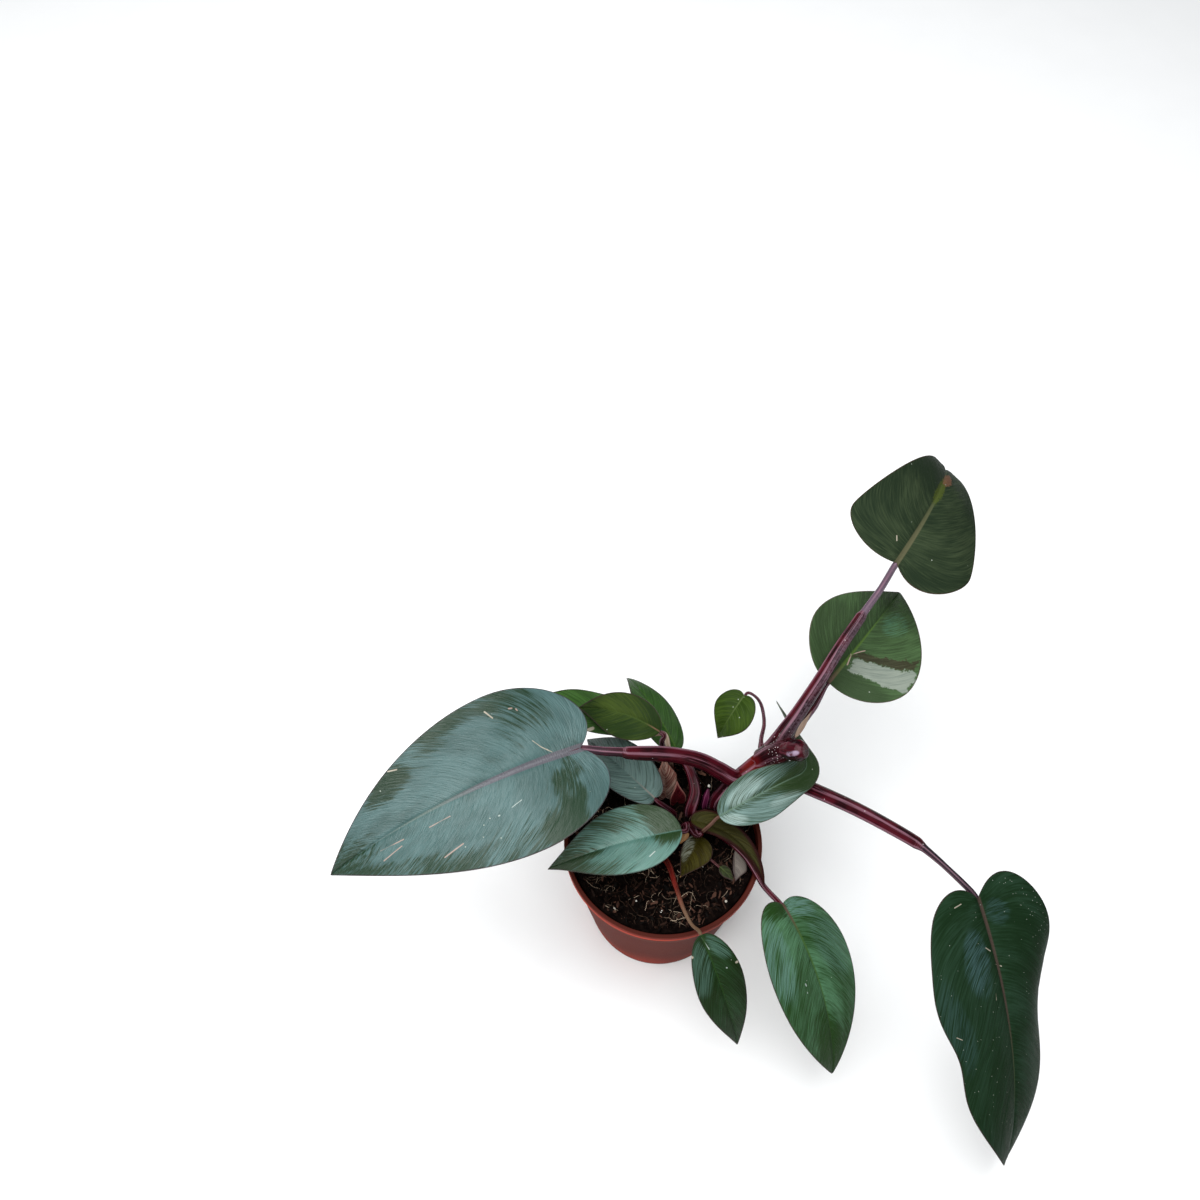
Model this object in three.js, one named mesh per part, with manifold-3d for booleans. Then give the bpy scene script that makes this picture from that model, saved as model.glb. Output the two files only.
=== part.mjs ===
// A blushing philodendron with glossy heart-shaped leaves on burgundy stalks, in a terracotta-coloured
// plastic nursery pot. Lengths are in millimetres and angles in degrees, +Z is up, and the pot stands on z = 0
// with its foot centred on the origin.
import * as THREE from 'three';
import { mergeVertices } from 'three/addons/utils/BufferGeometryUtils.js';
import Module from 'manifold-3d';

const wasm = await Module();
wasm.setup();
const { Manifold, Mesh: SolidMesh } = wasm;

// Pot
const POT_HEIGHT = 106;
const POT_RIM_RADIUS = 60;
const POT_FOOT_RADIUS = 45;
const POT_WALL = 1.4;
const POT_FLOOR = 2.2;
const BAND_HEIGHT = 15;
const BAND_STEP = 0.6;
const LIP_HEIGHT = 5;
const LIP_STEP = 0.6;
const DRAIN_HOLES = 6;
const DRAIN_RADIUS = 3.2;
const DRAIN_CIRCLE = 31;
const POT_SIDES = 48;

// Soil
const SOIL_LEVEL = 98;
const SOIL_SIDES = 32;
const SOIL_BUMP = 0.8;
const MOUND_HEIGHT = 7.4;
const MOUND_SPREAD = 14;
const MOUND_CENTRE = [36, 45];

// Stalks and where they stand
const HOLE_FLOOR = 84;
const HOLE_TOP = 112;
const HOLE_SLACK = 0.9;
const HOLE_SIDES = 10;
const FIT_GAP = 0.35;
const SEAT_GAP = 0.65;
const STALK_SIDES = 9;
const STALK_STEP = 10;
const APPROACH = 3;
const APPROACH_DROP = 0.5;

// Blades
const BLADE_THICKNESS = 0.9;
const RIB_DEPTH = 1.1;
const FRAME_STEPS = 60;
const COARSE_LENGTH = 60;

const COLOR = {
  pot: '#a1482f',
  soil: '#2a1d18',
  burgundy: '#4a1220',
  darkGreen: '#22361f',
  greyGreen: '#4d655c',
  brightGreen: '#3c6434',
  oliveGreen: '#454d22',
  paleGrey: '#a8a596',
  tan: '#a5784c',
  red: '#6b1a1f',
  pinkBrown: '#a97767',
  cream: '#c9ab97',
};

// Every blade and open sheath. "at" is where the midrib starts, "heading" turns from +X towards +Y, "pitch"
// is the rise at the start, "droop", "swing" and "twist" build up towards the tip, and "fold" and "arch" set
// the V and the rounding of each half. belly, lobe, full and point shape the margin, as parts of the length.
const BLADES = [
  {
    name: 'leaf_great_left', color: COLOR.greyGreen,
    at: [-49, 38, 156], length: 168, left: 52, right: 47,
    heading: 204, pitch: 14, droop: 50, roll: -7, twist: -14, fold: 11, arch: -5,
    belly: 0.25, lobe: 0.16, full: 0.23, point: 0.56, wave: [1.2, 1.5, 0.11],
  },
  {
    name: 'leaf_front_left', color: COLOR.greyGreen,
    at: [10, -3, 129.5], length: 85, left: 21, right: 22,
    heading: 189, droop: 30, swing: 4, roll: 7, twist: -9, fold: 14, arch: 16,
    belly: 0.34, lobe: 0, full: 0.27, point: 0.47, wave: [0.7, 1.5, 0.4],
  },
  {
    name: 'leaf_behind_left_grey', color: COLOR.greyGreen,
    at: [-5, 20.5, 122.5], length: 76, left: 14.5, right: 17,
    heading: 132, pitch: -5, droop: 38, swing: -10, roll: -10, twist: -14, fold: 16, arch: 10,
    belly: 0.37, lobe: 0.1, full: 0.24, point: 0.45, wave: [0.6, 1.5, 0.1],
  },
  {
    name: 'leaf_behind_left_dark', color: COLOR.darkGreen,
    at: [-1.7, 50.2, 151.7], length: 59, left: 15.5, right: 13.5,
    heading: 141, pitch: -3, droop: 28, swing: 24, roll: -20, twist: -10, fold: 20, arch: 11,
    belly: 0.38, lobe: 0, full: 0.22, point: 0.6, wave: [0.7, 1.5, 0],
  },
  {
    name: 'leaf_behind_left_bright', color: COLOR.brightGreen,
    at: [-9.4, 60.8, 131.4], length: 84, left: 13, right: 15.5,
    heading: 159, pitch: 12, droop: 45, roll: 10, twist: -19, fold: 8, arch: 13,
    belly: 0.33, lobe: 0.05, full: 0.29, point: 0.57, wave: [2.1, 1.5, 0.1],
  },
  {
    name: 'leaf_arching_bright', color: COLOR.brightGreen,
    at: [10.5, 54.5, 116], length: 75, left: 12.5, right: 12,
    heading: 120, pitch: 33, droop: 88, swing: -6, roll: 10, twist: 4, fold: 10, arch: 26,
    belly: 0.32, lobe: 0.03, full: 0.18, point: 0.34, wave: [0.8, 1.5, 0.4],
  },
  {
    name: 'leaf_small_heart', color: COLOR.darkGreen,
    at: [54, 88.5, 124.5], length: 35, left: 15, right: 13.5,
    heading: 232, pitch: -17, droop: 53, swing: -8, roll: 9, twist: 3, fold: 13, arch: 13,
    belly: 0.35, lobe: 0.13, full: 0.23, point: 0.42,
  },
  {
    name: 'leaf_top_right', color: COLOR.darkGreen,
    at: [142.5, 138.5, 198.5], length: 149, left: 42, right: 43,
    heading: 52, pitch: 18, droop: 83, swing: 25, roll: 10, twist: 26, fold: 10, arch: 29,
    belly: 0.12, lobe: 0.05, lobeRight: 0.13, full: 0.09, point: 0.24,
  },
  {
    name: 'leaf_right_variegated', color: COLOR.darkGreen,
    at: [100, 76.5, 163], length: 98, left: 35, right: 41,
    heading: 49, pitch: 4, droop: 30, swing: 8, roll: 19, twist: -16, fold: 19, arch: 4,
    belly: 0.27, lobe: 0.05, full: 0.22, point: 0.48,
  },
  {
    name: 'leaf_far_right_hanging', color: COLOR.darkGreen,
    at: [167, -56, 160], length: 193, left: 50, right: 50,
    heading: -72, pitch: -25, droop: 52, swing: -5, roll: -17, twist: -26, fold: 12, arch: 41,
    belly: 0.22, lobe: 0.14, full: 0.27, point: 0.59, wave: [7, 1.37, 0.12], nip: [0.18, 0.4],
  },
  {
    name: 'leaf_bent_round_crown', color: COLOR.greyGreen,
    at: [33, 6.5, 127], length: 116, left: 14.5, right: 16,
    heading: 25, pitch: 17, droop: 38, swing: 80, bend: [0.45, 0.6], roll: 6, twist: 38, fold: 12, arch: 13,
    belly: 0.24, lobe: 0.01, full: 0.09, point: 0.06,
  },
  {
    name: 'leaf_front_right', color: COLOR.brightGreen,
    at: [69, -40, 105.5], length: 117, left: 32, right: 33,
    heading: -60, pitch: -7, droop: 62, swing: -22, roll: -26, fold: 6, arch: 17,
    belly: 0.31, lobe: 0.06, lobeRight: 0.12, full: 0.24, point: 0.56,
  },
  {
    name: 'leaf_front_small', color: COLOR.darkGreen,
    at: [19.5, -60.5, 114], length: 83, left: 15, right: 15,
    heading: -65, pitch: -27, droop: 45, swing: 2, fold: 9, arch: 13,
    belly: 0.37, lobe: 0.02, full: 0.22, point: 0.51, wave: [1.3, 1.5, 0],
  },
  {
    name: 'leaf_olive_small', color: COLOR.oliveGreen,
    at: [22.5, 2.4, 105.1], length: 28, left: 12, right: 7,
    heading: 242, pitch: -7, droop: 6, roll: 3, fold: 10, arch: 15,
    belly: 0.32, lobe: 0.06, full: 0.22, point: 0.44,
  },
  {
    name: 'leaf_seedling', color: COLOR.oliveGreen,
    at: [33.7, -15.7, 102.3], length: 13.4, left: 3.6, right: 3.2,
    heading: -46, pitch: -2, droop: 8, fold: 12, arch: 10,
    belly: 0.35, lobe: 0, full: 0.2, point: 0.3,
  },
  {
    name: 'leaf_pale_small', color: COLOR.paleGrey,
    at: [43, -8, 108], length: 18, left: 7, right: 1.5,
    heading: -92, pitch: -10, droop: 8, fold: 6, arch: 12,
    belly: 0.6, lobe: 0, full: 0.14, point: 0.6,
  },
  {
    name: 'sheath_front_right', color: COLOR.oliveGreen,
    at: [16.8, 8.8, 115.2], length: 62, left: 8.8, right: 6.6,
    heading: -7, pitch: 1, droop: 8, swing: -74, roll: -4, fold: 20, arch: 14,
    belly: 0.2, lobe: 0.03, full: 0.12, point: 0.62,
  },
  {
    name: 'sheath_cream', color: COLOR.cream,
    at: [77.95, 43.95, 154.7], length: 19, left: 1.6, right: 1.6,
    heading: 52, pitch: 38, fold: 20, droop: 6, arch: 10,
    belly: 0.4, lobe: 0, full: 0.2, point: 0.4,
  },
  {
    name: 'sheath_pink_brown', color: COLOR.pinkBrown, hole: 4.6,
    at: [2.9, 31.2, 94], length: 41, left: 7.5, right: 7.5,
    heading: 98, pitch: 80, droop: 14, fold: 34, arch: 26,
    belly: 0.6, lobe: 0, full: 0.14, point: 0.6,
  },
  {
    name: 'sheath_red', color: COLOR.red, hole: 4.8,
    at: [10, 28, 94], length: 27, left: 6, right: 6,
    heading: 100, pitch: 86, droop: 10, fold: 45, arch: 30,
    belly: 0.42, lobe: 0, full: 0.25, point: 0.4,
  },
  {
    name: 'sheath_tan', color: COLOR.tan,
    at: [15.1, 3.4, 110.1], length: 9, left: 2.2, right: 2.2,
    heading: 230, pitch: -26, droop: 6, fold: 20, arch: 20,
    belly: 0.3, lobe: 0, full: 0.22, point: 0.5,
  },
];

// Stalks. Each point is [x, y, z, radius]. A stalk with "under" ends just below the start of that blade.
const SHOOTS = [
  {
    name: 'main_shoot', color: COLOR.burgundy,
    stalks: [
      {
        under: 'leaf_top_right', tip: 1.9, points: [
          [36, 26, 84.4, 6.2], [36, 26, 93, 6.2], [36.2, 26.2, 102, 6], [40, 28.6, 110, 5.6],
          [46.5, 32.5, 117, 6.2], [57.3, 38, 123, 7.3], [65, 41.5, 130.5, 7.7], [68, 44, 139, 7.1],
          [71.6, 47.5, 150, 5.6], [80, 56.4, 161, 4.7], [92.5, 71, 175, 4.3], [104.5, 87, 186, 4],
          [117.5, 103.5, 194, 3.6], [119, 105.5, 194.7, 2.6], [130, 119.5, 198, 2.3],
        ],
      },
      {
        under: 'leaf_great_left', tip: 2.2, points: [
          [53, 35, 119, 5.6], [45, 33, 120.5, 5.8], [34.8, 36, 127, 5.3], [23, 38.8, 135, 4.9],
          [10.3, 39.1, 141.5, 4.7], [-2, 37.8, 147.5, 4.6], [-14, 36.4, 151.5, 4.3],
          [-22.1, 35.4, 154.5, 3.7], [-24.1, 35.5, 155, 2.9], [-35, 35.8, 156, 2.7],
        ],
      },
      {
        under: 'leaf_far_right_hanging', tip: 1.7, points: [
          [57, 37.5, 119, 6], [68, 36.5, 115.5, 5.4], [79, 33.2, 117.5, 4.8], [90, 24.6, 124, 4.5],
          [111.8, 6.3, 137, 4.2], [129.7, -11, 148, 3.9], [140.1, -22, 154.5, 3.6], [143.3, -26.2, 156.6, 2.3],
          [152, -37.2, 159.2, 1.8],
        ],
      },
      {
        under: 'leaf_right_variegated', tip: 1.8, points: [
          [67, 44, 137, 5], [77, 49.5, 148.5, 3.7], [84, 57, 154.5, 3.4], [90, 63.5, 158, 3.1],
        ],
      },
      {
        under: 'leaf_small_heart', tip: 1, points: [
          [62, 43, 128, 4], [61, 53, 131, 1.8], [64, 66, 131, 1.5], [63, 80, 130, 1.4], [59.5, 87.5, 127, 1.2],
        ],
      },
    ],
  },
  {
    name: 'new_growth_bud', color: COLOR.red,
    stalks: [{ points: [[72.8, 41.6, 152.2, 2.8], [75.5, 36.2, 155.5, 4.8], [79.5, 34.5, 159, 5.2], [82.5, 34, 161, 2.8]] }],
  },
  {
    name: 'front_shoot', color: COLOR.burgundy,
    stalks: [
      {
        points: [
          [17.5, 10, 84.4, 4.2], [17.5, 10, 93, 4.2], [17.5, 10, 101, 4.2], [18, 6.8, 107.5, 3.6],
          [20, 2, 111.5, 2.8], [21.8, -0.2, 115.5, 2.1], [22.6, -0.6, 118.6, 1.4],
        ],
      },
      {
        under: 'leaf_front_right', tip: 1.6, points: [
          [19, 6.8, 108.3, 2.8], [25.4, 5, 110.4, 2.4], [32, 2.5, 111, 2.2], [41.2, -4.4, 111, 2.1],
          [49.1, -13.5, 111, 2], [54.1, -22.6, 110.7, 1.9], [58.2, -30.5, 109.6, 1.7],
        ],
      },
    ],
  },
  {
    name: 'stalk_bent_leaf', color: COLOR.tan,
    stalks: [
      { under: 'leaf_bent_round_crown', tip: 1, points: [[23.3, -0.1, 119.8, 1.3], [27.5, 2.4, 123.2, 1.2]] },
    ],
  },
  {
    name: 'stalk_front_left', color: COLOR.burgundy,
    stalks: [
      {
        under: 'leaf_front_left', tip: 1.4, points: [
          [10.5, 6, 84.4, 2.2], [10.5, 6, 93, 2.2], [10.7, 6, 101, 2.2], [12.5, 6.2, 112, 2],
          [14, 3.4, 121, 1.8],
        ],
      },
    ],
  },
  {
    name: 'stalk_behind_left_grey', color: COLOR.burgundy,
    stalks: [
      {
        under: 'leaf_behind_left_grey', tip: 1.3, points: [
          [8, 18, 84.4, 2.2], [8, 18, 93, 2.2], [7.8, 18, 101, 2.2], [4.5, 17, 112, 1.9],
        ],
      },
    ],
  },
  {
    name: 'stalk_behind_left_dark', color: COLOR.burgundy,
    stalks: [
      {
        under: 'leaf_behind_left_dark', tip: 1.3, points: [
          [2.5, 42, 84.4, 2.2], [2.5, 42, 93, 2.2], [2.5, 42.2, 101, 2.2], [3.2, 43.8, 118, 2],
          [1.3, 46.3, 132, 1.8], [-0.3, 48.2, 143, 1.6],
        ],
      },
    ],
  },
  {
    name: 'stalk_behind_left_bright', color: COLOR.pinkBrown,
    stalks: [
      {
        under: 'leaf_behind_left_bright', tip: 1.2, points: [
          [7, 46.4, 84.4, 2.2], [7, 46.4, 93, 2.2], [7, 46.5, 102, 2.2], [6.2, 47.3, 112, 2],
          [5, 48.8, 120, 1.9], [4, 52.8, 127.5, 1.8], [1.8, 58, 132.5, 1.7],
        ],
      },
    ],
  },
  {
    name: 'stalk_arching_bright', color: COLOR.burgundy,
    stalks: [
      {
        under: 'leaf_arching_bright', tip: 1.8, points: [
          [18, 21.5, 84.4, 4], [18, 21.5, 93, 4], [18, 21.5, 102, 4], [21, 30, 108, 3.8],
          [19.5, 39, 111.5, 3.4], [15.5, 47.5, 113.5, 2.6],
        ],
      },
    ],
  },
  {
    name: 'stalk_front_small', color: COLOR.red,
    stalks: [
      {
        under: 'leaf_front_small', tip: 1, points: [
          [0, -9, 84.4, 2.2], [0, -9, 93, 2.2], [0.5, -9.5, 101, 2.2], [3, -18, 110, 2], [6, -32, 115, 1.8],
          [10, -47, 117.5, 1.6], [14.5, -55.5, 116, 1.3],
        ],
      },
    ],
  },
  {
    name: 'stalk_seedling', color: COLOR.red,
    stalks: [
      {
        under: 'leaf_seedling', tip: 0.7, points: [
          [24.5, -8.5, 84.4, 0.9], [24.5, -8.5, 93, 0.9], [24.8, -8.6, 99, 0.9], [29, -11.5, 102, 0.8],
        ],
      },
    ],
  },
  {
    name: 'shoot_bud_purple', color: COLOR.burgundy,
    stalks: [
      {
        points: [
          [27, 25, 84.4, 2.6], [27, 25, 93, 2.6], [27, 25.5, 101, 2.6], [28, 28, 107, 2.2], [29, 31, 111, 0.8],
        ],
      },
    ],
  },
];

function radians(degrees) {
  return THREE.MathUtils.degToRad(degrees);
}

function plainGeometry(positions, index) {
  const geometry = new THREE.BufferGeometry();
  geometry.setAttribute('position', new THREE.Float32BufferAttribute(positions, 3));
  geometry.setIndex(index);
  return geometry;
}

// Solid joins and cuts

function toSolid(geometry) {
  const bare = plainGeometry(geometry.getAttribute('position').array, geometry.getIndex());
  const welded = mergeVertices(bare, 1e-4);
  const mesh = new SolidMesh({
    numProp: 3,
    vertProperties: new Float32Array(welded.getAttribute('position').array),
    triVerts: new Uint32Array(welded.getIndex().array),
  });
  return new Manifold(mesh);
}

function fromSolid(solid) {
  const mesh = solid.getMesh();
  return plainGeometry(mesh.vertProperties, new THREE.BufferAttribute(mesh.triVerts, 1));
}

function fuse(geometries) {
  const [first, ...rest] = geometries.map(toSolid);
  return fromSolid(rest.reduce((joined, next) => joined.add(next), first));
}

function cut(geometry, tools) {
  return fromSolid(tools.map(toSolid).reduce((left, tool) => left.subtract(tool), toSolid(geometry)));
}

function uprightCylinder(x, y, bottom, top, radius, sides) {
  const cylinder = new THREE.CylinderGeometry(radius, radius, top - bottom, sides);
  cylinder.rotateX(Math.PI / 2);
  cylinder.translate(x, y, (top + bottom) / 2);
  return cylinder;
}

// Pot and soil

function lathe(profile, sides) {
  const points = profile.map(([r, z]) => new THREE.Vector2(r, z));
  const geometry = new THREE.LatheGeometry(points, sides);
  geometry.rotateX(Math.PI / 2);
  return geometry;
}

function potOuterRadius(z) {
  const taper = POT_RIM_RADIUS - LIP_STEP - BAND_STEP - POT_FOOT_RADIUS;
  return POT_FOOT_RADIUS + (taper * z) / POT_HEIGHT;
}

function potInnerRadius(z) {
  return potOuterRadius(z) - POT_WALL;
}

function potBody() {
  const bandFoot = POT_HEIGHT - BAND_HEIGHT;
  const lipFoot = POT_HEIGHT - LIP_HEIGHT;
  const lipRound = 0.6;
  const footChamfer = 1.2;
  const profile = [
    [0, 0],
    [POT_FOOT_RADIUS - footChamfer, 0],
    [potOuterRadius(footChamfer), footChamfer],
    [potOuterRadius(bandFoot), bandFoot],
    [potOuterRadius(bandFoot) + BAND_STEP, bandFoot + BAND_STEP],
    [potOuterRadius(lipFoot) + BAND_STEP, lipFoot],
    [POT_RIM_RADIUS, lipFoot + LIP_STEP],
    [POT_RIM_RADIUS, POT_HEIGHT - lipRound],
    [POT_RIM_RADIUS - lipRound, POT_HEIGHT],
    [potInnerRadius(POT_HEIGHT) + lipRound, POT_HEIGHT],
    [potInnerRadius(POT_HEIGHT), POT_HEIGHT - lipRound],
    [potInnerRadius(POT_FLOOR), POT_FLOOR],
    [0, POT_FLOOR],
  ];
  const drains = [];
  for (let i = 0; i < DRAIN_HOLES; i += 1) {
    const angle = (2 * Math.PI * i) / DRAIN_HOLES;
    const x = DRAIN_CIRCLE * Math.cos(angle);
    const y = DRAIN_CIRCLE * Math.sin(angle);
    drains.push(uprightCylinder(x, y, -1, POT_FLOOR + 1, DRAIN_RADIUS, HOLE_SIDES));
  }
  return cut(lathe(profile, POT_SIDES), drains);
}

// The soil is gently uneven, flat at the wall of the pot, and heaped up behind the main shoot.
function soilRise(x, y, edge) {
  const fade = Math.max(0, 1 - Math.hypot(x, y) / edge);
  const ripple = Math.sin(x * 0.31 + 1) * Math.cos(y * 0.27) + 0.6 * Math.sin(x * 0.11 - y * 0.53 + 2);
  const away = Math.hypot(x - MOUND_CENTRE[0], y - MOUND_CENTRE[1]) / MOUND_SPREAD;
  return SOIL_BUMP * ripple * Math.min(1, fade * 5) + MOUND_HEIGHT * Math.exp(-(away ** 2));
}

function soilBody() {
  const bottom = POT_FLOOR + FIT_GAP;
  const edge = potInnerRadius(SOIL_LEVEL - 2) - FIT_GAP;
  const shares = [0.96, 0.8, 0.62, 0.44, 0.26];
  const profile = [
    [0, bottom],
    [potInnerRadius(bottom) - FIT_GAP, bottom],
    [edge, SOIL_LEVEL - 2],
    ...shares.map((share) => [edge * share, SOIL_LEVEL]),
    [0, SOIL_LEVEL],
  ];
  const body = lathe(profile, SOIL_SIDES);
  const position = body.getAttribute('position');
  for (let i = 0; i < position.count; i += 1) {
    const isTop = position.getZ(i) > SOIL_LEVEL - 1;
    if (isTop) position.setZ(i, SOIL_LEVEL + soilRise(position.getX(i), position.getY(i), edge));
  }
  return cut(body, soilHoles());
}

// One plain round hole for everything that stands in the soil.
function soilHoles() {
  const rooted = SHOOTS.map((shoot) => shoot.stalks[0].points[0]).filter((point) => point[2] < SOIL_LEVEL);
  const stalkHoles = rooted.map(([x, y, , r]) => {
    return uprightCylinder(x, y, HOLE_FLOOR, HOLE_TOP, r + HOLE_SLACK, HOLE_SIDES);
  });
  const sheathHoles = BLADES.filter((blade) => blade.hole).map(({ at, hole }) => {
    return uprightCylinder(at[0], at[1], at[2] - BLADE_THICKNESS, HOLE_TOP, hole, HOLE_SIDES);
  });
  return [...stalkHoles, ...sheathHoles];
}

// Blades

// How much of the swing has built up at a share t of the length: evenly, or all within the bend.
function swingShare(blade, t) {
  return blade.bend ? THREE.MathUtils.smoothstep(t, blade.bend[0], blade.bend[1]) : t;
}

// The midrib as a row of frames: a point, the way forward, the way to the right and the way up.
function midribFrames(blade) {
  const frames = [];
  const point = new THREE.Vector3(...blade.at);
  let before = null;
  for (let i = 0; i <= FRAME_STEPS; i += 1) {
    const t = i / FRAME_STEPS;
    const heading = radians(blade.heading + (blade.swing ?? 0) * swingShare(blade, t));
    const pitch = radians((blade.pitch ?? 0) - blade.droop * t);
    const roll = radians((blade.roll ?? 0) + (blade.twist ?? 0) * t);
    const level = Math.cos(pitch);
    const ahead = new THREE.Vector3(level * Math.cos(heading), level * Math.sin(heading), Math.sin(pitch));
    const right = new THREE.Vector3(Math.sin(heading), -Math.cos(heading), 0).applyAxisAngle(ahead, roll);
    if (before) point.addScaledVector(before.clone().add(ahead), blade.length / FRAME_STEPS / 2);
    frames.push({ point: point.clone(), ahead, right, up: right.clone().cross(ahead) });
    before = ahead;
  }
  return frames;
}

function frameAt(frames, t) {
  const place = THREE.MathUtils.clamp(t, 0, 1) * FRAME_STEPS;
  const i = Math.min(Math.floor(place), FRAME_STEPS - 1);
  const mix = (key) => frames[i][key].clone().lerp(frames[i + 1][key], place - i);
  return { point: mix('point'), ahead: mix('ahead'), right: mix('right'), up: mix('up') };
}

// The margin of one half from base to tip, as points (out, along) in parts of the blade's length.
function marginPoints(blade, isRight, lobeSteps, sideSteps) {
  const half = (isRight ? blade.right : blade.left) / blade.length;
  const lobe = isRight ? blade.lobeRight ?? blade.lobe : blade.lobe;
  const { belly, full, point } = blade;
  const widest = new THREE.Vector2(half, belly);
  const lobeCurve = new THREE.CubicBezierCurve(
    new THREE.Vector2(0, 0),
    new THREE.Vector2(half * 0.45, -lobe),
    new THREE.Vector2(half, belly - 0.62 * (belly + 0.3 * lobe)),
    widest,
  );
  const sideCurve = new THREE.CubicBezierCurve(
    widest,
    new THREE.Vector2(half, belly + full),
    new THREE.Vector2(half * point, 0.72),
    new THREE.Vector2(0, 1),
  );
  const points = [...lobeCurve.getPoints(lobeSteps), ...sideCurve.getPoints(sideSteps).slice(1)];
  if (isRight && blade.nip) points.forEach((p) => p.setX(p.x * nipShare(blade.nip, p.y)));
  return points;
}

// A dent in the margin, [depth, where], as part of the width.
function nipShare([depth, where], along) {
  return 1 - depth * Math.exp(-(((along - where) / 0.13) ** 2));
}

// Where each row starts on the midrib: rows crowd towards the base, where the veins fan out.
function rowStarts(margin) {
  const run = [0];
  for (let i = 1; i < margin.length; i += 1) run.push(run[i - 1] + margin[i].distanceTo(margin[i - 1]));
  return run.map((distance) => (distance / run[run.length - 1]) ** 1.6);
}

// A point of the surface, "out" mm from the midrib and "along" in parts of the length.
function surfacePoint(blade, frames, isRight, out, along) {
  const half = isRight ? blade.right : blade.left;
  const fold = radians(blade.fold);
  const curl = radians(blade.arch) / half;
  const level = (Math.sin(fold) - Math.sin(fold - curl * out)) / curl;
  const rise = (Math.cos(fold - curl * out) - Math.cos(fold)) / curl;
  const [height, count, phase] = blade.wave ?? [0, 1, 0];
  const wave = height * (out / half) ** 2 * Math.sin(2 * Math.PI * (count * along + phase));
  const frame = frameAt(frames, along);
  return frame.point
    .addScaledVector(frame.ahead, Math.min(along, 0) * blade.length)
    .addScaledVector(frame.right, isRight ? level : -level)
    .addScaledVector(frame.up, rise + wave);
}

// Rows of points from the left margin over the midrib to the right margin.
function bladeRows(blade, frames) {
  const isCoarse = blade.length < COARSE_LENGTH;
  const shares = isCoarse ? [0.18, 0.6, 1] : [0.12, 0.42, 0.74, 1];
  const steps = isCoarse ? [3, 6] : [5, 9];
  const sides = [false, true].map((isRight) => {
    const margin = marginPoints(blade, isRight, ...steps);
    const starts = rowStarts(margin);
    return margin.map((edge, row) => shares.map((share) => {
      const along = starts[row] + (edge.y - starts[row]) * share ** 1.5;
      return surfacePoint(blade, frames, isRight, edge.x * share * blade.length, along);
    }));
  });
  const starts = rowStarts(marginPoints(blade, false, ...steps));
  return sides[0].map((left, row) => {
    return [...left.reverse(), frameAt(frames, starts[row]).point, ...sides[1][row]];
  });
}

// The way up at every grid point, from the triangles round it.
function rowNormals(rows) {
  const flat = rows.flat();
  const width = rows[0].length;
  const index = gridTriangles(rows.length, width, (row, column) => row * width + column).flat();
  const surface = plainGeometry(flat.flatMap((point) => point.toArray()), index);
  surface.computeVertexNormals();
  const normal = surface.getAttribute('normal');
  return rows.map((row, i) => row.map((_, j) => {
    return new THREE.Vector3().fromBufferAttribute(normal, i * width + j);
  }));
}

// Two triangles for each cell of a grid, all split along the same diagonal.
function gridTriangles(rowCount, width, at) {
  const triangles = [];
  for (let row = 0; row + 1 < rowCount; row += 1) {
    for (let column = 0; column + 1 < width; column += 1) {
      const corners = [at(row, column), at(row, column + 1), at(row + 1, column + 1), at(row + 1, column)];
      triangles.push([corners[0], corners[1], corners[2]], [corners[0], corners[2], corners[3]]);
    }
  }
  return triangles.filter(([a, b, c]) => a !== b && b !== c && c !== a);
}

// The underside stands out along the midrib, most near the base and not at all at the two ends.
function ribDepth(t) {
  return RIB_DEPTH * Math.min(1, t * 6) * (1 - t);
}

function bladeSolid(blade) {
  const frames = midribFrames(blade);
  const rows = bladeRows(blade, frames);
  const normals = rowNormals(rows);
  const width = rows[0].length;
  const middle = (width - 1) / 2;
  const last = rows.length - 1;
  [0, last].forEach((row) => normals[row].fill(frameAt(frames, row / last).up));
  const top = [];
  const bottom = [];
  rows.forEach((row, i) => row.forEach((point, j) => {
    const rib = j === middle ? ribDepth(i / last) : 0;
    top.push(point.clone().addScaledVector(normals[i][j], BLADE_THICKNESS / 2));
    bottom.push(point.clone().addScaledVector(normals[i][j], -BLADE_THICKNESS / 2 - rib));
  }));
  const spot = (row, column) => (row === 0 || row === last ? row * width : row * width + column);
  const upper = gridTriangles(rows.length, width, spot);
  const lower = upper.map(([a, b, c]) => [c + top.length, b + top.length, a + top.length]);
  const index = [...upper, ...lower, ...rimTriangles(last, width, spot, top.length)].flat();
  const points = [...top, ...bottom].flatMap((point) => point.toArray());
  return mergeVertices(plainGeometry(points, index), 1e-5);
}

// The thin edge between the two faces, along the left margin and along the right one.
function rimTriangles(last, width, spot, lift) {
  const triangles = [];
  for (let row = 0; row < last; row += 1) {
    const [a, b] = [spot(row, 0), spot(row + 1, 0)];
    const [c, d] = [spot(row, width - 1), spot(row + 1, width - 1)];
    triangles.push([a, b, b + lift], [a, b + lift, a + lift]);
    triangles.push([d, c, c + lift], [d, c + lift, d + lift]);
  }
  return triangles;
}

// Stalks

// The last two points of a stalk: it comes up from behind the start of its blade and ends a small gap below.
function seatUnder(bladeName, radius) {
  const blade = BLADES.find((candidate) => candidate.name === bladeName);
  const { point, ahead, up } = frameAt(midribFrames(blade), 0.01);
  const seat = point.addScaledVector(up, -(BLADE_THICKNESS / 2 + SEAT_GAP + radius));
  const approach = seat.clone().addScaledVector(ahead, -APPROACH).addScaledVector(up, -APPROACH_DROP);
  return [[...approach.toArray(), radius * 1.1], [...seat.toArray(), radius]];
}

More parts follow.
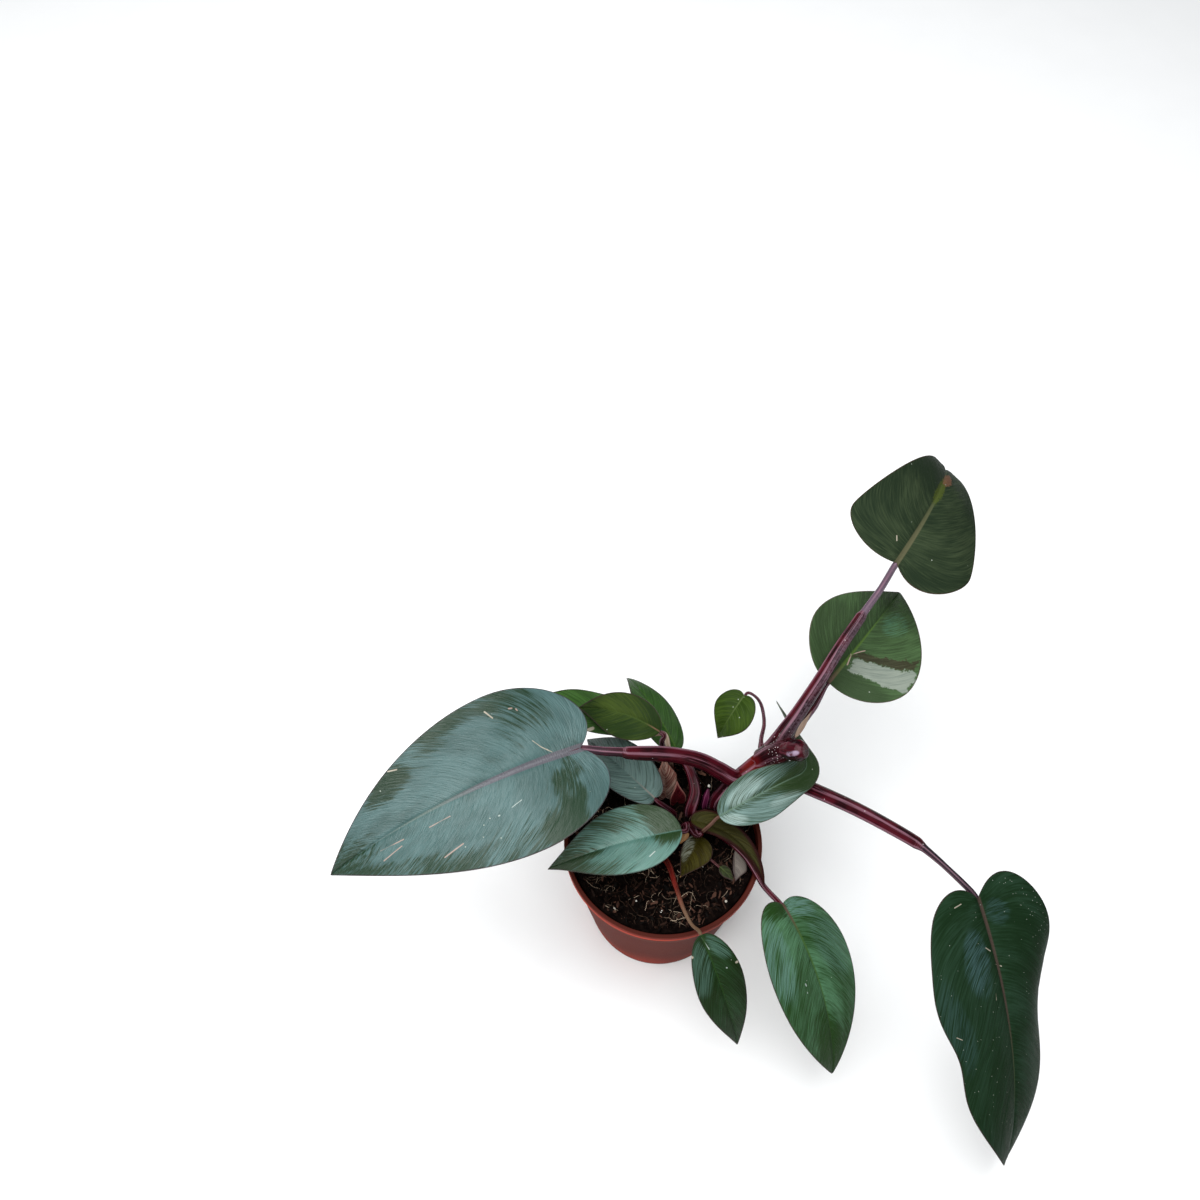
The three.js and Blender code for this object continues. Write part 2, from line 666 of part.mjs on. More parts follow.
// A round tube along a smooth curve, with a radius of its own at each point, closed by a cap at both ends.
function tube(points, sides) {
  const centres = points.map(([x, y, z]) => new THREE.Vector3(x, y, z));
  const curve = new THREE.CatmullRomCurve3(centres, false, 'centripetal');
  const rings = [];
  let side = new THREE.Vector3(1, 0, 0);
  for (const [place, radius] of ringPlaces(points, centres)) {
    const t = place / (points.length - 1);
    const ahead = curve.getTangent(t);
    side = side.clone().addScaledVector(ahead, -side.dot(ahead)).normalize();
    rings.push(ring(curve.getPoint(t), side, side.clone().cross(ahead), radius, sides));
  }
  return cappedRings(rings, sides);
}

// A ring at every given point, and more between two that lie far apart, as [place along the row, radius].
function ringPlaces(points, centres) {
  const places = [];
  for (let i = 0; i + 1 < points.length; i += 1) {
    const parts = Math.max(1, Math.round(centres[i].distanceTo(centres[i + 1]) / STALK_STEP));
    for (let k = 0; k < parts; k += 1) {
      places.push([i + k / parts, THREE.MathUtils.lerp(points[i][3], points[i + 1][3], k / parts)]);
    }
  }
  places.push([points.length - 1, points[points.length - 1][3]]);
  return places;
}

function ring(centre, side, across, radius, sides) {
  const points = [];
  for (let i = 0; i < sides; i += 1) {
    const angle = (-2 * Math.PI * i) / sides;
    const point = centre.clone().addScaledVector(side, radius * Math.cos(angle));
    points.push(point.addScaledVector(across, radius * Math.sin(angle)));
  }
  return points;
}

function cappedRings(rings, sides) {
  const last = rings.length - 1;
  const at = (row, column) => row * sides + (column % sides);
  const walls = gridTriangles(rings.length, sides + 1, at);
  const caps = [];
  for (let i = 1; i + 1 < sides; i += 1) {
    caps.push([at(0, 0), at(0, i + 1), at(0, i)], [at(last, 0), at(last, i), at(last, i + 1)]);
  }
  const points = rings.flat().flatMap((point) => point.toArray());
  return plainGeometry(points, [...walls, ...caps].flat());
}

function shootSolid(shoot) {
  const tubes = shoot.stalks.map(({ points, under, tip }) => {
    const full = under ? [...points, ...seatUnder(under, tip)] : points;
    return tube(full, STALK_SIDES);
  });
  return tubes.length > 1 ? fuse(tubes) : tubes[0];
}

// Assembly

function addPiece(group, name, geometry, color, roughness) {
  geometry.computeVertexNormals();
  const material = new THREE.MeshStandardMaterial({ color, roughness, metalness: 0 });
  material.name = `${name}_material`;
  const mesh = new THREE.Mesh(geometry, material);
  mesh.name = name;
  group.add(mesh);
}

const plant = new THREE.Group();
plant.name = 'potted_blushing_philodendron';
addPiece(plant, 'pot', potBody(), COLOR.pot, 0.55);
addPiece(plant, 'soil', soilBody(), COLOR.soil, 0.95);
SHOOTS.forEach((shoot) => addPiece(plant, shoot.name, shootSolid(shoot), shoot.color, 0.35));
BLADES.forEach((blade) => addPiece(plant, blade.name, bladeSolid(blade), blade.color, 0.3));

export default plant;
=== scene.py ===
"""Looks of a blushing philodendron in a terracotta-coloured nursery pot.

Shapes are worked out in millimetres and degrees and turned into metres when a mesh is made. +Z is up and
the pot's foot stands on the origin. A leaf has coordinates of its own: "share" goes from the midrib (0) to
the margin (1, or -1 on the left half), "along" from the base (0) to the tip (1) on the midrib, and "row"
from the base (0) to the tip (1) on the margin.
"""

import math
from random import Random
from types import SimpleNamespace

import bpy
import numpy as np
from mathutils import Matrix, Vector, noise


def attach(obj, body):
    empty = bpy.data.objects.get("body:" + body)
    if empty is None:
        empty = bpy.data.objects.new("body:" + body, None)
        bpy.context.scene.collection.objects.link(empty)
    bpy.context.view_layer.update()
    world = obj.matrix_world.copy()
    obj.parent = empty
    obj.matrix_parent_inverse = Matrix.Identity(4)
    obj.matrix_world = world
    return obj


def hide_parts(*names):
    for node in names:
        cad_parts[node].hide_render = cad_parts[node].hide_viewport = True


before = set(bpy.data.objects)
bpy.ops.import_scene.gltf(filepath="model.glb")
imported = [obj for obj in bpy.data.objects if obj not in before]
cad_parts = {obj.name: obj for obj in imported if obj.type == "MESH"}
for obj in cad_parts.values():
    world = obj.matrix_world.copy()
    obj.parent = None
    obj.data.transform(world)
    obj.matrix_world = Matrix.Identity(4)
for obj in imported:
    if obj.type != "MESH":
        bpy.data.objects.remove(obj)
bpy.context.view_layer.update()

MM = 0.001

# Camera: the photograph's own frame
FRAME_PIXELS = 1200
FOCAL_PIXELS = 1199
SENSOR_WIDTH = 36
CAMERA_PLACE = (-36.7, -268.5, 796.6)
CAMERA_PITCH = 57.4
CAMERA_ROLL = -0.56

# Studio
FLOOR_HALF = 3000
LIGHT_TARGET = (0, 0, 0.1)
WORLD_COLOR = (0.95, 0.97, 1.0, 1.0)
WORLD_LIGHT = 0.22

# Pot
POT_HEIGHT = 106
POT_RIM_RADIUS = 60
POT_FOOT_RADIUS = 45
POT_WALL = 1.4
POT_FLOOR = 2.2
BAND_HEIGHT = 15
BAND_STEP = 0.6
LIP_HEIGHT = 5
LIP_STEP = 0.6
FOOT_ROUND = 1.2
STEP_ROUND = 0.35
RIM_ROUND = 0.6
DRAIN_HOLES = 6
DRAIN_RADIUS = 3.2
DRAIN_CIRCLE = 31
DRAIN_SIDES = 32
POT_SIDES = 144

# Soil
SOIL_LEVEL = 98
SOIL_BUMP = 0.8
SOIL_EDGE_RISE = 5
SOIL_EDGE_WIDTH = 14
SOIL_SIDE_DEPTH = 10
MOUND_HEIGHT = 7.4
MOUND_SPREAD = 14
MOUND_CENTRE = (36, 45)
SOIL_RINGS = 84
SOIL_SPOKES = 240
SOIL_NOISES = ((0.16, 3.1, 0.8, 1.1), (0.55, 7.7, 0.6, 0.8))
CHIP_SEED = 11
CHIP_COUNT = 4200
CHIP_LENGTH = 0.8
CHIP_LENGTH_SPREAD = 5
CHIP_WIDTHS = (0.16, 0.5)
CHIP_HEIGHTS = (0.12, 0.35)
CHIP_TILT = 0.45
CHIP_CLEARANCE = 0.8
CHIP_EDGE = 2.5
CHIP_SIDES = 6
CHIP_RINGS = ((-0.5, 0.7), (-0.2, 1.0), (0.25, 0.95), (0.5, 0.75))
FIBRE_SEED = 23
FIBRE_COUNT = 260
FIBRE_SIDES = 5
FIBRE_STEP = 1.1
FIBRE_POINTS = (5, 18)
FIBRE_RADII = (0.06, 0.15)
FIBRE_CURL = 0.22
FIBRE_WANDER = 0.3
FIBRE_CLEARANCE = 0.5
FIBRE_EDGE = 3
PERLITE_SEED = 5
PERLITE_COUNT = 16
PERLITE_RADII = (0.5, 1.1)
PERLITE_CLEARANCE = 1.5
PERLITE_EDGE = 4
PERLITE_RINGS = 5
PERLITE_SIDES = 8

# Blades
BLADE_THICKNESS = 0.9
MARGIN_THICKNESS = 0.4
RIB_DEPTH = 1.5
RIB_WIDTH = 1.9
FRAME_STEPS = 240
BLADE_GRAIN = 1.1
LOBE_STEPS = 0.36
LOBE_HANDLE = 0.45
BELLY_HANDLE = 0.62
LOBE_PULL = 0.3
TIP_HANDLE = 0.72
NIP_WIDTH = 0.13
MARGIN_RUN = 1.25
ROW_START_POWER = 1.6
ROW_SWEEP_POWER = 1.5
FULL_RELIEF_LENGTH = 110
FULL_KEEL_LENGTH = 90
RIB_SINK = 0.5
RIB_SINK_WIDTH = 2.4
UNEVENNESS = 0.3
VEINS = 9
VEIN_SWEEP = 0.3
VEIN_DEPTH = 0.12

# Stalks
STALK_FOOT = 84.4
STALK_COLLAR = 93
TUBE_SIDES = 28
TUBE_STEP = 1.2
FUSE_VOXEL = 0.48
RELAX_SHARE = 0.5
RELAX_ROUNDS = 4
VERTEX_BLOCKS = 40
GROOVE_WAY = (0, -0.35, 1.0)
GROOVE_WIDTH = 0.32
GROOVE_START = 2.4
GROOVE_FADE = (2.2, 3.6)
RIDGE_HEIGHT = 0.35
RIDGE_PLACE = 0.68
RIDGE_WIDTH = 0.22
APPROACH = 3
APPROACH_DROP = 0.5
SEAT_SHARE = 0.75
SEAT_STEPS = ((2, 1), (17, 0.7), (38, 0.4))
THIN_RADII = (2.4, 3.1)
THIN_TONES = (1, 0.3, -1)
# Heights over which the top right leaf's stalk takes the pale streaks, partly painted reflection.
PALE_HEIGHTS = (145, 160)
RED_JOINT_PLACE = (60, 38, 124)
RED_JOINT_SIZE = 17
SHEATH_RADIUS = 5.5
BUD_GIRTH = 0.93
BUD_WRAP_DEPTH = 0.12
BUD_WRAP_TURNS = 0.25

# Blades. "at" is where the midrib starts, and "left" and "right" are the widths of the two sides. "heading",
# "pitch" and "roll" are each an angle at the base and its change by the tip, and "bend" is the stretch in
# which the heading changes. "section" is how far a side folds up at the midrib and how far it arches down.
# "outline" is where the blade is widest, how far its lobes reach back, and how full it is past its widest
# place and near the tip; "lobe_right" is for a right lobe that differs. "wave" is the height of the margin's
# wave, its count and where it starts, and "nip" is the depth and the place of a dent in the right margin.
BLADES = {
    "leaf_great_left": dict(
        at=(-49, 38, 156), length=168, left=52, right=47, heading=(204, 0), pitch=(14, -50), roll=(-7, -14),
        section=(11, -5), outline=(0.25, 0.16, 0.23, 0.56), wave=(1.2, 1.5, 0.11),
    ),
    "leaf_front_left": dict(
        at=(10, -3, 129.5), length=85, left=21, right=22, heading=(189, 4), pitch=(0, -30), roll=(7, -9),
        section=(14, 16), outline=(0.34, 0, 0.27, 0.47), wave=(0.7, 1.5, 0.4),
    ),
    "leaf_behind_left_grey": dict(
        at=(-5, 20.5, 122.5), length=76, left=14.5, right=17, heading=(132, -10), pitch=(-5, -38),
        roll=(-10, -14), section=(16, 10), outline=(0.37, 0.1, 0.24, 0.45), wave=(0.6, 1.5, 0.1),
    ),
    "leaf_behind_left_dark": dict(
        at=(-1.7, 50.2, 151.7), length=59, left=15.5, right=13.5, heading=(141, 24), pitch=(-3, -28),
        roll=(-20, -10), section=(20, 11), outline=(0.38, 0, 0.22, 0.6), wave=(0.7, 1.5, 0),
    ),
    "leaf_behind_left_bright": dict(
        at=(-9.4, 60.8, 131.4), length=84, left=13, right=15.5, heading=(159, 0), pitch=(12, -45),
        roll=(10, -19), section=(8, 13), outline=(0.33, 0.05, 0.29, 0.57), wave=(2.1, 1.5, 0.1),
    ),
    "leaf_arching_bright": dict(
        at=(10.5, 54.5, 116), length=75, left=12.5, right=12, heading=(120, -6), pitch=(33, -88),
        roll=(10, 4), section=(10, 26), outline=(0.32, 0.03, 0.18, 0.34), wave=(0.8, 1.5, 0.4),
    ),
    "leaf_small_heart": dict(
        at=(54, 88.5, 124.5), length=35, left=15, right=13.5, heading=(232, -8), pitch=(-17, -53),
        roll=(9, 3), section=(13, 13), outline=(0.35, 0.13, 0.23, 0.42),
    ),
    "leaf_top_right": dict(
        at=(142.5, 138.5, 198.5), length=149, left=42, right=43, heading=(52, 25), pitch=(18, -83),
        roll=(10, 26), section=(10, 29), outline=(0.12, 0.05, 0.09, 0.24), lobe_right=0.13,
    ),
    "leaf_right_variegated": dict(
        at=(100, 76.5, 163), length=98, left=35, right=41, heading=(49, 8), pitch=(4, -30), roll=(19, -16),
        section=(19, 4), outline=(0.27, 0.05, 0.22, 0.48),
    ),
    "leaf_far_right_hanging": dict(
        at=(167, -56, 160), length=193, left=50, right=50, heading=(-72, -5), pitch=(-25, -52),
        roll=(-17, -26), section=(12, 41), outline=(0.22, 0.14, 0.27, 0.59), wave=(7, 1.37, 0.12),
        nip=(0.18, 0.4),
    ),
    "leaf_bent_round_crown": dict(
        at=(33, 6.5, 127), length=116, left=14.5, right=16, heading=(25, 80), pitch=(17, -38), roll=(6, 38),
        bend=(0.45, 0.6), section=(12, 13), outline=(0.24, 0.01, 0.09, 0.06),
    ),
    "leaf_front_right": dict(
        at=(69, -40, 105.5), length=117, left=32, right=33, heading=(-60, -22), pitch=(-7, -62),
        roll=(-26, 0), section=(6, 17), outline=(0.31, 0.06, 0.24, 0.56), lobe_right=0.12,
    ),
    "leaf_front_small": dict(
        at=(19.5, -60.5, 114), length=83, left=15, right=15, heading=(-65, 2), pitch=(-27, -45),
        section=(9, 13), outline=(0.37, 0.02, 0.22, 0.51), wave=(1.3, 1.5, 0),
    ),
    "leaf_olive_small": dict(
        at=(22.5, 2.4, 105.1), length=28, left=12, right=7, heading=(242, 0), pitch=(-7, -6), roll=(3, 0),
        section=(10, 15), outline=(0.32, 0.06, 0.22, 0.44),
    ),
    "leaf_seedling": dict(
        at=(33.7, -15.7, 102.3), length=13.4, left=3.6, right=3.2, heading=(-46, 0), pitch=(-2, -8),
        section=(12, 10), outline=(0.35, 0, 0.2, 0.3),
    ),
    "leaf_pale_small": dict(
        at=(43, -8, 108), length=18, left=7, right=1.5, heading=(-92, 0), pitch=(-10, -8), section=(6, 12),
        outline=(0.6, 0, 0.14, 0.6),
    ),
    "sheath_front_right": dict(
        at=(16.8, 8.8, 115.2), length=62, left=8.8, right=6.6, heading=(-7, -74), pitch=(1, -8),
        roll=(-4, 0), section=(20, 14), outline=(0.2, 0.03, 0.12, 0.62),
    ),
    "sheath_cream": dict(
        at=(77.95, 43.95, 154.7), length=19, left=1.6, right=1.6, heading=(52, 0), pitch=(38, -6),
        section=(20, 10), outline=(0.4, 0, 0.2, 0.4),
    ),
    "sheath_pink_brown": dict(
        at=(2.9, 31.2, 94), length=41, left=7.5, right=7.5, heading=(98, 0), pitch=(80, -14),
        section=(34, 26), outline=(0.6, 0, 0.14, 0.6),
    ),
    "sheath_red": dict(
        at=(10, 28, 94), length=27, left=6, right=6, heading=(100, 0), pitch=(86, -10), section=(45, 30),
        outline=(0.42, 0, 0.25, 0.4),
    ),
    "sheath_tan": dict(
        at=(15.1, 3.4, 110.1), length=9, left=2.2, right=2.2, heading=(230, 0), pitch=(-26, -6),
        section=(20, 20), outline=(0.3, 0, 0.22, 0.5),
    ),
}


def planted(x, y, radius):
    """The two points of a stalk that are below the soil."""
    return [(x, y, STALK_FOOT, radius), (x, y, STALK_COLLAR, radius)]


# Stalks by shoot. Each point is (x, y, z, radius), "under" names the blade that the stalk carries, "tip"
# is its radius there, "channel" is the depth of its groove as a share of its radius, and "turn" is how many
# degrees the groove is turned away from GROOVE_WAY.
SHOOTS = {
    "main_shoot": [
        dict(under="leaf_top_right", tip=1.9, channel=0.3, turn=-48, points=[
            *planted(36, 26, 6.2), (36.2, 26.2, 102, 6), (40, 28.6, 110, 5.6), (46.5, 32.5, 117, 6.2),
            (57.3, 38, 123, 7.3), (65, 41.5, 130.5, 7.7), (68, 44, 139, 7.1), (71.6, 47.5, 150, 5.3),
            (80, 56.4, 161, 4.3), (92.5, 71, 175, 3.9), (104.5, 87, 186, 3.6), (117.5, 103.5, 194, 3.2),
            (119, 105.5, 194.7, 2.4), (130, 119.5, 198, 2.1),
        ]),
        dict(under="leaf_great_left", tip=2.2, channel=0.2, turn=25, points=[
            (53, 35, 119, 5.6), (45, 33, 120.5, 5.8), (34.8, 36, 127, 5.3), (23, 38.8, 135, 4.9),
            (10.3, 39.1, 141.5, 4.7), (-2, 37.8, 147.5, 4.6), (-14, 36.4, 151.5, 4.3),
            (-22.1, 35.4, 154.5, 3.7), (-24.1, 35.5, 155, 2.9), (-35, 35.8, 156, 2.7),
        ]),
        dict(under="leaf_far_right_hanging", tip=1.7, channel=0.22, turn=30, points=[
            (57, 37.5, 119, 6), (68, 36.5, 115.5, 5.4), (79, 33.2, 117.5, 4.8), (90, 24.6, 124, 4.5),
            (111.8, 6.3, 137, 4.2), (129.7, -11, 148, 3.9), (140.1, -22, 154.5, 3.6),
            (143.3, -26.2, 156.6, 2.3), (152, -37.2, 159.2, 1.8),
        ]),
        dict(under="leaf_right_variegated", tip=1.8, points=[
            (67, 44, 137, 5), (77, 49.5, 148.5, 3.7), (84, 57, 154.5, 3.4), (90, 63.5, 158, 3.1),
        ]),
        dict(under="leaf_small_heart", tip=1, points=[
            (62, 43, 128, 4), (61, 53, 131, 1.4), (64, 66, 131, 1.2), (63, 80, 130, 1.1),
            (59.5, 87.5, 127, 1),
        ]),
        dict(points=[
            (60, 42, 130, 6.2), (65.5, 41.5, 137.5, 7), (71, 40, 145.5, 7.2), (76, 38.5, 152.5, 5.8),
        ]),
    ],
    "front_shoot": [
        dict(points=[
            *planted(17.5, 10, 4.2), (17.5, 10, 101, 4.2), (18, 6.8, 107.5, 3.6), (20, 2, 111.5, 2.8),
            (21.8, -0.2, 115.5, 2.1), (22.6, -0.6, 118.6, 1.4),
        ]),
        dict(under="leaf_front_right", tip=1.6, channel=0.15, points=[
            (19, 6.8, 108.3, 2.8), (25.4, 5, 110.4, 2.4), (32, 2.5, 111, 2.2), (41.2, -4.4, 111, 2.1),
            (49.1, -13.5, 111, 2), (54.1, -22.6, 110.7, 1.9), (58.2, -30.5, 109.6, 1.7),
        ]),
    ],
    "stalk_bent_leaf": [dict(under="leaf_bent_round_crown", tip=1, points=[
        (23.3, -0.1, 119.8, 1.3), (27.5, 2.4, 123.2, 1.2),
    ])],
    "stalk_front_left": [dict(under="leaf_front_left", tip=1.4, points=[
        *planted(10.5, 6, 2.2), (10.7, 6, 101, 2.2), (12.5, 6.2, 112, 2), (14, 3.4, 121, 1.8),
    ])],
    "stalk_behind_left_grey": [dict(under="leaf_behind_left_grey", tip=1.3, points=[
        *planted(8, 18, 2.2), (7.8, 18, 101, 2.2), (4.5, 17, 112, 1.9),
    ])],
    "stalk_behind_left_dark": [dict(under="leaf_behind_left_dark", tip=1.3, points=[
        *planted(2.5, 42, 2.2), (2.5, 42.2, 101, 2.2), (3.2, 43.8, 118, 2), (1.3, 46.3, 132, 1.8),
        (-0.3, 48.2, 143, 1.6),
    ])],
    "stalk_behind_left_bright": [dict(under="leaf_behind_left_bright", tip=1.2, channel=0.2, points=[
        *planted(7, 46.4, 2.2), (7, 46.5, 102, 2.2), (6.2, 47.3, 112, 2), (5, 48.8, 120, 1.9),
        (4, 52.8, 127.5, 1.8), (1.8, 58, 132.5, 1.7),
    ])],
    "stalk_arching_bright": [dict(under="leaf_arching_bright", tip=1.8, channel=0.18, points=[
        *planted(18, 21.5, 4), (18, 21.5, 102, 4), (21, 30, 108, 3.8), (19.5, 39, 111.5, 3.4),
        (15.5, 47.5, 113.5, 2.6),
    ])],
    "stalk_front_small": [dict(under="leaf_front_small", tip=1, channel=0.15, points=[
        *planted(0, -9, 2.2), (0.5, -9.5, 101, 2.2), (3, -18, 110, 1.8), (6, -32, 115, 1.45),
        (10, -47, 117.5, 1.2), (14.5, -55.5, 116, 1),
    ])],
    "stalk_seedling": [dict(under="leaf_seedling", tip=0.7, points=[
        *planted(24.5, -8.5, 0.9), (24.8, -8.6, 99, 0.9), (29, -11.5, 102, 0.8),
    ])],
    "shoot_bud_purple": [dict(points=[
        *planted(27, 25, 2.6), (27, 25.5, 101, 2.6), (28, 28, 107, 2.2), (29, 31, 111, 0.8),
    ])],
}

BUD_POINTS = [
    (71.5, 38.5, 150, 4.8), (75.5, 35.8, 154.5, 6.3), (79.3, 33.8, 158.3, 6.5), (82, 32.8, 160.6, 4.3),
]


# Mesh making

def add_object(name, data):
    thing = bpy.data.objects.new(name, data)
    bpy.context.scene.collection.objects.link(thing)
    return thing


def new_mesh(name, points, faces):
    mesh = bpy.data.meshes.new(name)
    mesh.from_pydata((np.asarray(points, float) * MM).tolist(), [], faces)
    return mesh


def new_piece(name, points, faces, material, node=None, smooth=True):
    """A mesh object from points in millimetres, riding on the plant's one body."""
    mesh = new_mesh(name, points, faces)
    mesh.validate()
    mesh.polygons.foreach_set("use_smooth", [smooth] * len(mesh.polygons))
    mesh.update()
    mesh.materials.append(material)
    piece = add_object(name, mesh)
    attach(piece, "root")
    if node:
        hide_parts(node)
    return piece


def store(piece, name, values):
    """A number or a vector for each vertex, which materials read."""
    values = np.asarray(values, np.float32)
    kind, key = ("FLOAT", "value") if values.ndim == 1 else ("FLOAT_VECTOR", "vector")
    piece.data.attributes.new(name, kind, "POINT").data.foreach_set(key, values.ravel())


def baked(piece):
    """Puts what the modifiers make of a piece in place of its mesh."""
    mesh = bpy.data.meshes.new_from_object(piece.evaluated_get(bpy.context.evaluated_depsgraph_get()))
    piece.modifiers.clear()
    piece.data = mesh
    mesh.polygons.foreach_set("use_smooth", [True] * len(mesh.polygons))


def unit(vectors):
    return vectors / np.maximum(np.linalg.norm(vectors, axis=-1, keepdims=True), 1e-12)


def ease(value, low, high):
    """0 up to low, 1 from high on, and a soft step between."""
    share = np.clip((value - low) / (high - low), 0, 1)
    return share * share * (3 - 2 * share)


def run_along(points):
    """The distance passed at each point of a line."""
    return np.concatenate([[0], np.cumsum(np.linalg.norm(np.diff(points, axis=0), axis=1))])


def circle(radius, count):
    """Points round a circle."""
    angles = [2 * math.pi * j / count for j in range(count)]
    return [(radius * math.cos(angle), radius * math.sin(angle)) for angle in angles]


def rings_round(points, first, second, radius, sides):
    """Rings of points round a line, with the ways out at angle 0 and a quarter turn on."""
    angle = 2 * np.pi * np.arange(sides)[:, None] / sides
    out = first[:, None] * np.cos(angle) + second[:, None] * np.sin(angle)
    return (points[:, None] + out * radius[..., None]).reshape(-1, 3)


def grid_faces(rows, columns, at):
    """Faces of a grid, where "at" gives the point at a row and a column."""
    faces = []
    for i in range(rows - 1):
        for j in range(columns - 1):
            corners = []
            for corner in (at(i, j), at(i, j + 1), at(i + 1, j + 1), at(i + 1, j)):
                if corner not in corners:
                    corners.append(corner)
            if len(corners) > 2:
                faces.append(corners)
    return faces


def tube_faces(rings, sides):
    """Faces round a tube and over its two ends."""
    faces = grid_faces(rings, sides + 1, lambda i, j: i * sides + j % sides)
    last = (rings - 1) * sides
    return faces + [list(range(sides))[::-1], list(range(last, last + sides))]


def round_faces(rings, sides):
    """Faces of a body with one point below its rings and one above them."""
    last = 1 + rings * sides
    faces = grid_faces(rings, sides + 1, lambda i, j: 1 + i * sides + j % sides)
    faces += [[0, 1 + (j + 1) % sides, 1 + j] for j in range(sides)]
    return faces + [[last, last - sides + j, last - sides + (j + 1) % sides] for j in range(sides)]


def flipped(faces):
    return [face[::-1] for face in faces]


def joined(parts):
    """Several meshes as one: points, faces and values, which may be one number for a part."""
    points, faces, values, shift = [], [], [], 0
    for part_points, part_faces, part_values in parts:
        points.append(part_points)
        values.append(part_values + np.zeros((len(part_points), 1)))
        faces += [[corner + shift for corner in face] for face in part_faces]
        shift += len(part_points)
    return np.vstack(points), faces, np.vstack(values)


# Blades

def bezier(corners, count):
    t = np.linspace(0, 1, count + 1)[:, None]
    a, b, c, d = np.array(corners, float)
    return (1 - t) ** 3 * a + 3 * (1 - t) ** 2 * t * b + 3 * (1 - t) * t * t * c + t ** 3 * d


def angle_at(blade, name, share):
    start, change = blade.get(name, (0, 0))
    return np.radians(start + change * share)


def midrib_frames(blade):
    """Points of the midrib, with the ways ahead, to the right and up at each."""
    t = np.linspace(0, 1, FRAME_STEPS + 1)
    heading = angle_at(blade, "heading", ease(t, *blade["bend"]) if "bend" in blade else t)
    pitch = angle_at(blade, "pitch", t)
    roll = angle_at(blade, "roll", t)[:, None]
    level = np.cos(pitch)
    ahead = np.stack([level * np.cos(heading), level * np.sin(heading), np.sin(pitch)], -1)
    flat_right = np.stack([np.sin(heading), -np.cos(heading), np.zeros_like(heading)], -1)
    right = flat_right * np.cos(roll) - np.cross(flat_right, ahead) * np.sin(roll)
    steps = (ahead[1:] + ahead[:-1]) * blade["length"] / FRAME_STEPS / 2
    point = np.array(blade["at"], float) + np.vstack([np.zeros(3), np.cumsum(steps, 0)])
    return {"point": point, "ahead": ahead, "right": right, "up": np.cross(right, ahead)}


def frame_at(frames, along):
    place = np.clip(along, 0, 1) * FRAME_STEPS
    i = np.minimum(place.astype(int), FRAME_STEPS - 1)
    part = (place - i)[..., None]
    return {key: rows[i] * (1 - part) + rows[i + 1] * part for key, rows in frames.items()}


def margin_points(blade, is_right, steps):
    """The margin of one half from base to tip, as (out, along) in parts of the length."""
    half = blade["right" if is_right else "left"] / blade["length"]
    belly, lobe, full, point = blade["outline"]
    if is_right:
        lobe = blade.get("lobe_right", lobe)
    lobe_steps = max(4, round(steps * LOBE_STEPS))
    low = belly - BELLY_HANDLE * (belly + LOBE_PULL * lobe)
    lobe_side = [(0, 0), (half * LOBE_HANDLE, -lobe), (half, low), (half, belly)]
    tip_side = [(half, belly), (half, belly + full), (half * point, TIP_HANDLE), (0, 1)]
    points = np.vstack([bezier(lobe_side, lobe_steps), bezier(tip_side, steps - lobe_steps)[1:]])
    if is_right and "nip" in blade:
        depth, where = blade["nip"]
        points[:, 0] *= 1 - depth * np.exp(-((points[:, 1] - where) / NIP_WIDTH) ** 2)
    return points


def surface_points(blade, frames, is_right, out, along):
    """Points "out" mm from the midrib: each half is a part of a circle, folded up and waved."""
    half = blade["right" if is_right else "left"]
    fold, arch = (math.radians(angle) for angle in blade["section"])
    curl = arch / half
    level = (np.sin(fold) - np.sin(fold - curl * out)) / curl
    rise = (np.cos(fold - curl * out) - np.cos(fold)) / curl
    height, count, phase = blade.get("wave", (0, 1, 0))
    wave = height * (out / half) ** 2 * np.sin(2 * np.pi * (count * along + phase))
    at = frame_at(frames, along)
    back = np.minimum(along, 0) * blade["length"]
    side = level if is_right else -level
    return (at["point"] + at["ahead"] * back[..., None] + at["right"] * side[..., None]
            + at["up"] * (rise + wave)[..., None])


def blade_grid(blade):
    """The middle surface of a blade as a grid of points, with its leaf coordinates and distances in mm."""
    frames = midrib_frames(blade)
    rows = max(24, round(blade["length"] * MARGIN_RUN / BLADE_GRAIN))
    columns = max(6, round(max(blade["left"], blade["right"]) / BLADE_GRAIN))
    shares = np.linspace(0, 1, columns + 1)[None, :]
    halves = []
    for is_right in (False, True):
        margin = margin_points(blade, is_right, rows)
        run = run_along(margin)
        row = (run / run[-1])[:, None]
        start = row ** ROW_START_POWER
        along = start + (margin[:, 1:] - start) * shares ** ROW_SWEEP_POWER
        out = margin[:, :1] * shares * blade["length"]
        reach = margin[:, :1] * blade["length"] - out
        points = surface_points(blade, frames, is_right, out, along)
        signed = shares if is_right else -shares
        fields = np.stack(np.broadcast_arrays(signed, along, row, out, reach), -1)
        halves.append(np.concatenate([points, fields], -1))
    left, right = halves
    whole = np.concatenate([left[:, :0:-1], right], 1)
    return whole[..., :3], whole[..., 3:]


def vein_flow(share, row):
    """A coordinate that is constant along each side vein, which sweeps forward towards the tip."""
    return row - VEIN_SWEEP * np.abs(share) ** 1.3 * np.minimum(1, row / 0.45) * (1 - row) ** 0.6


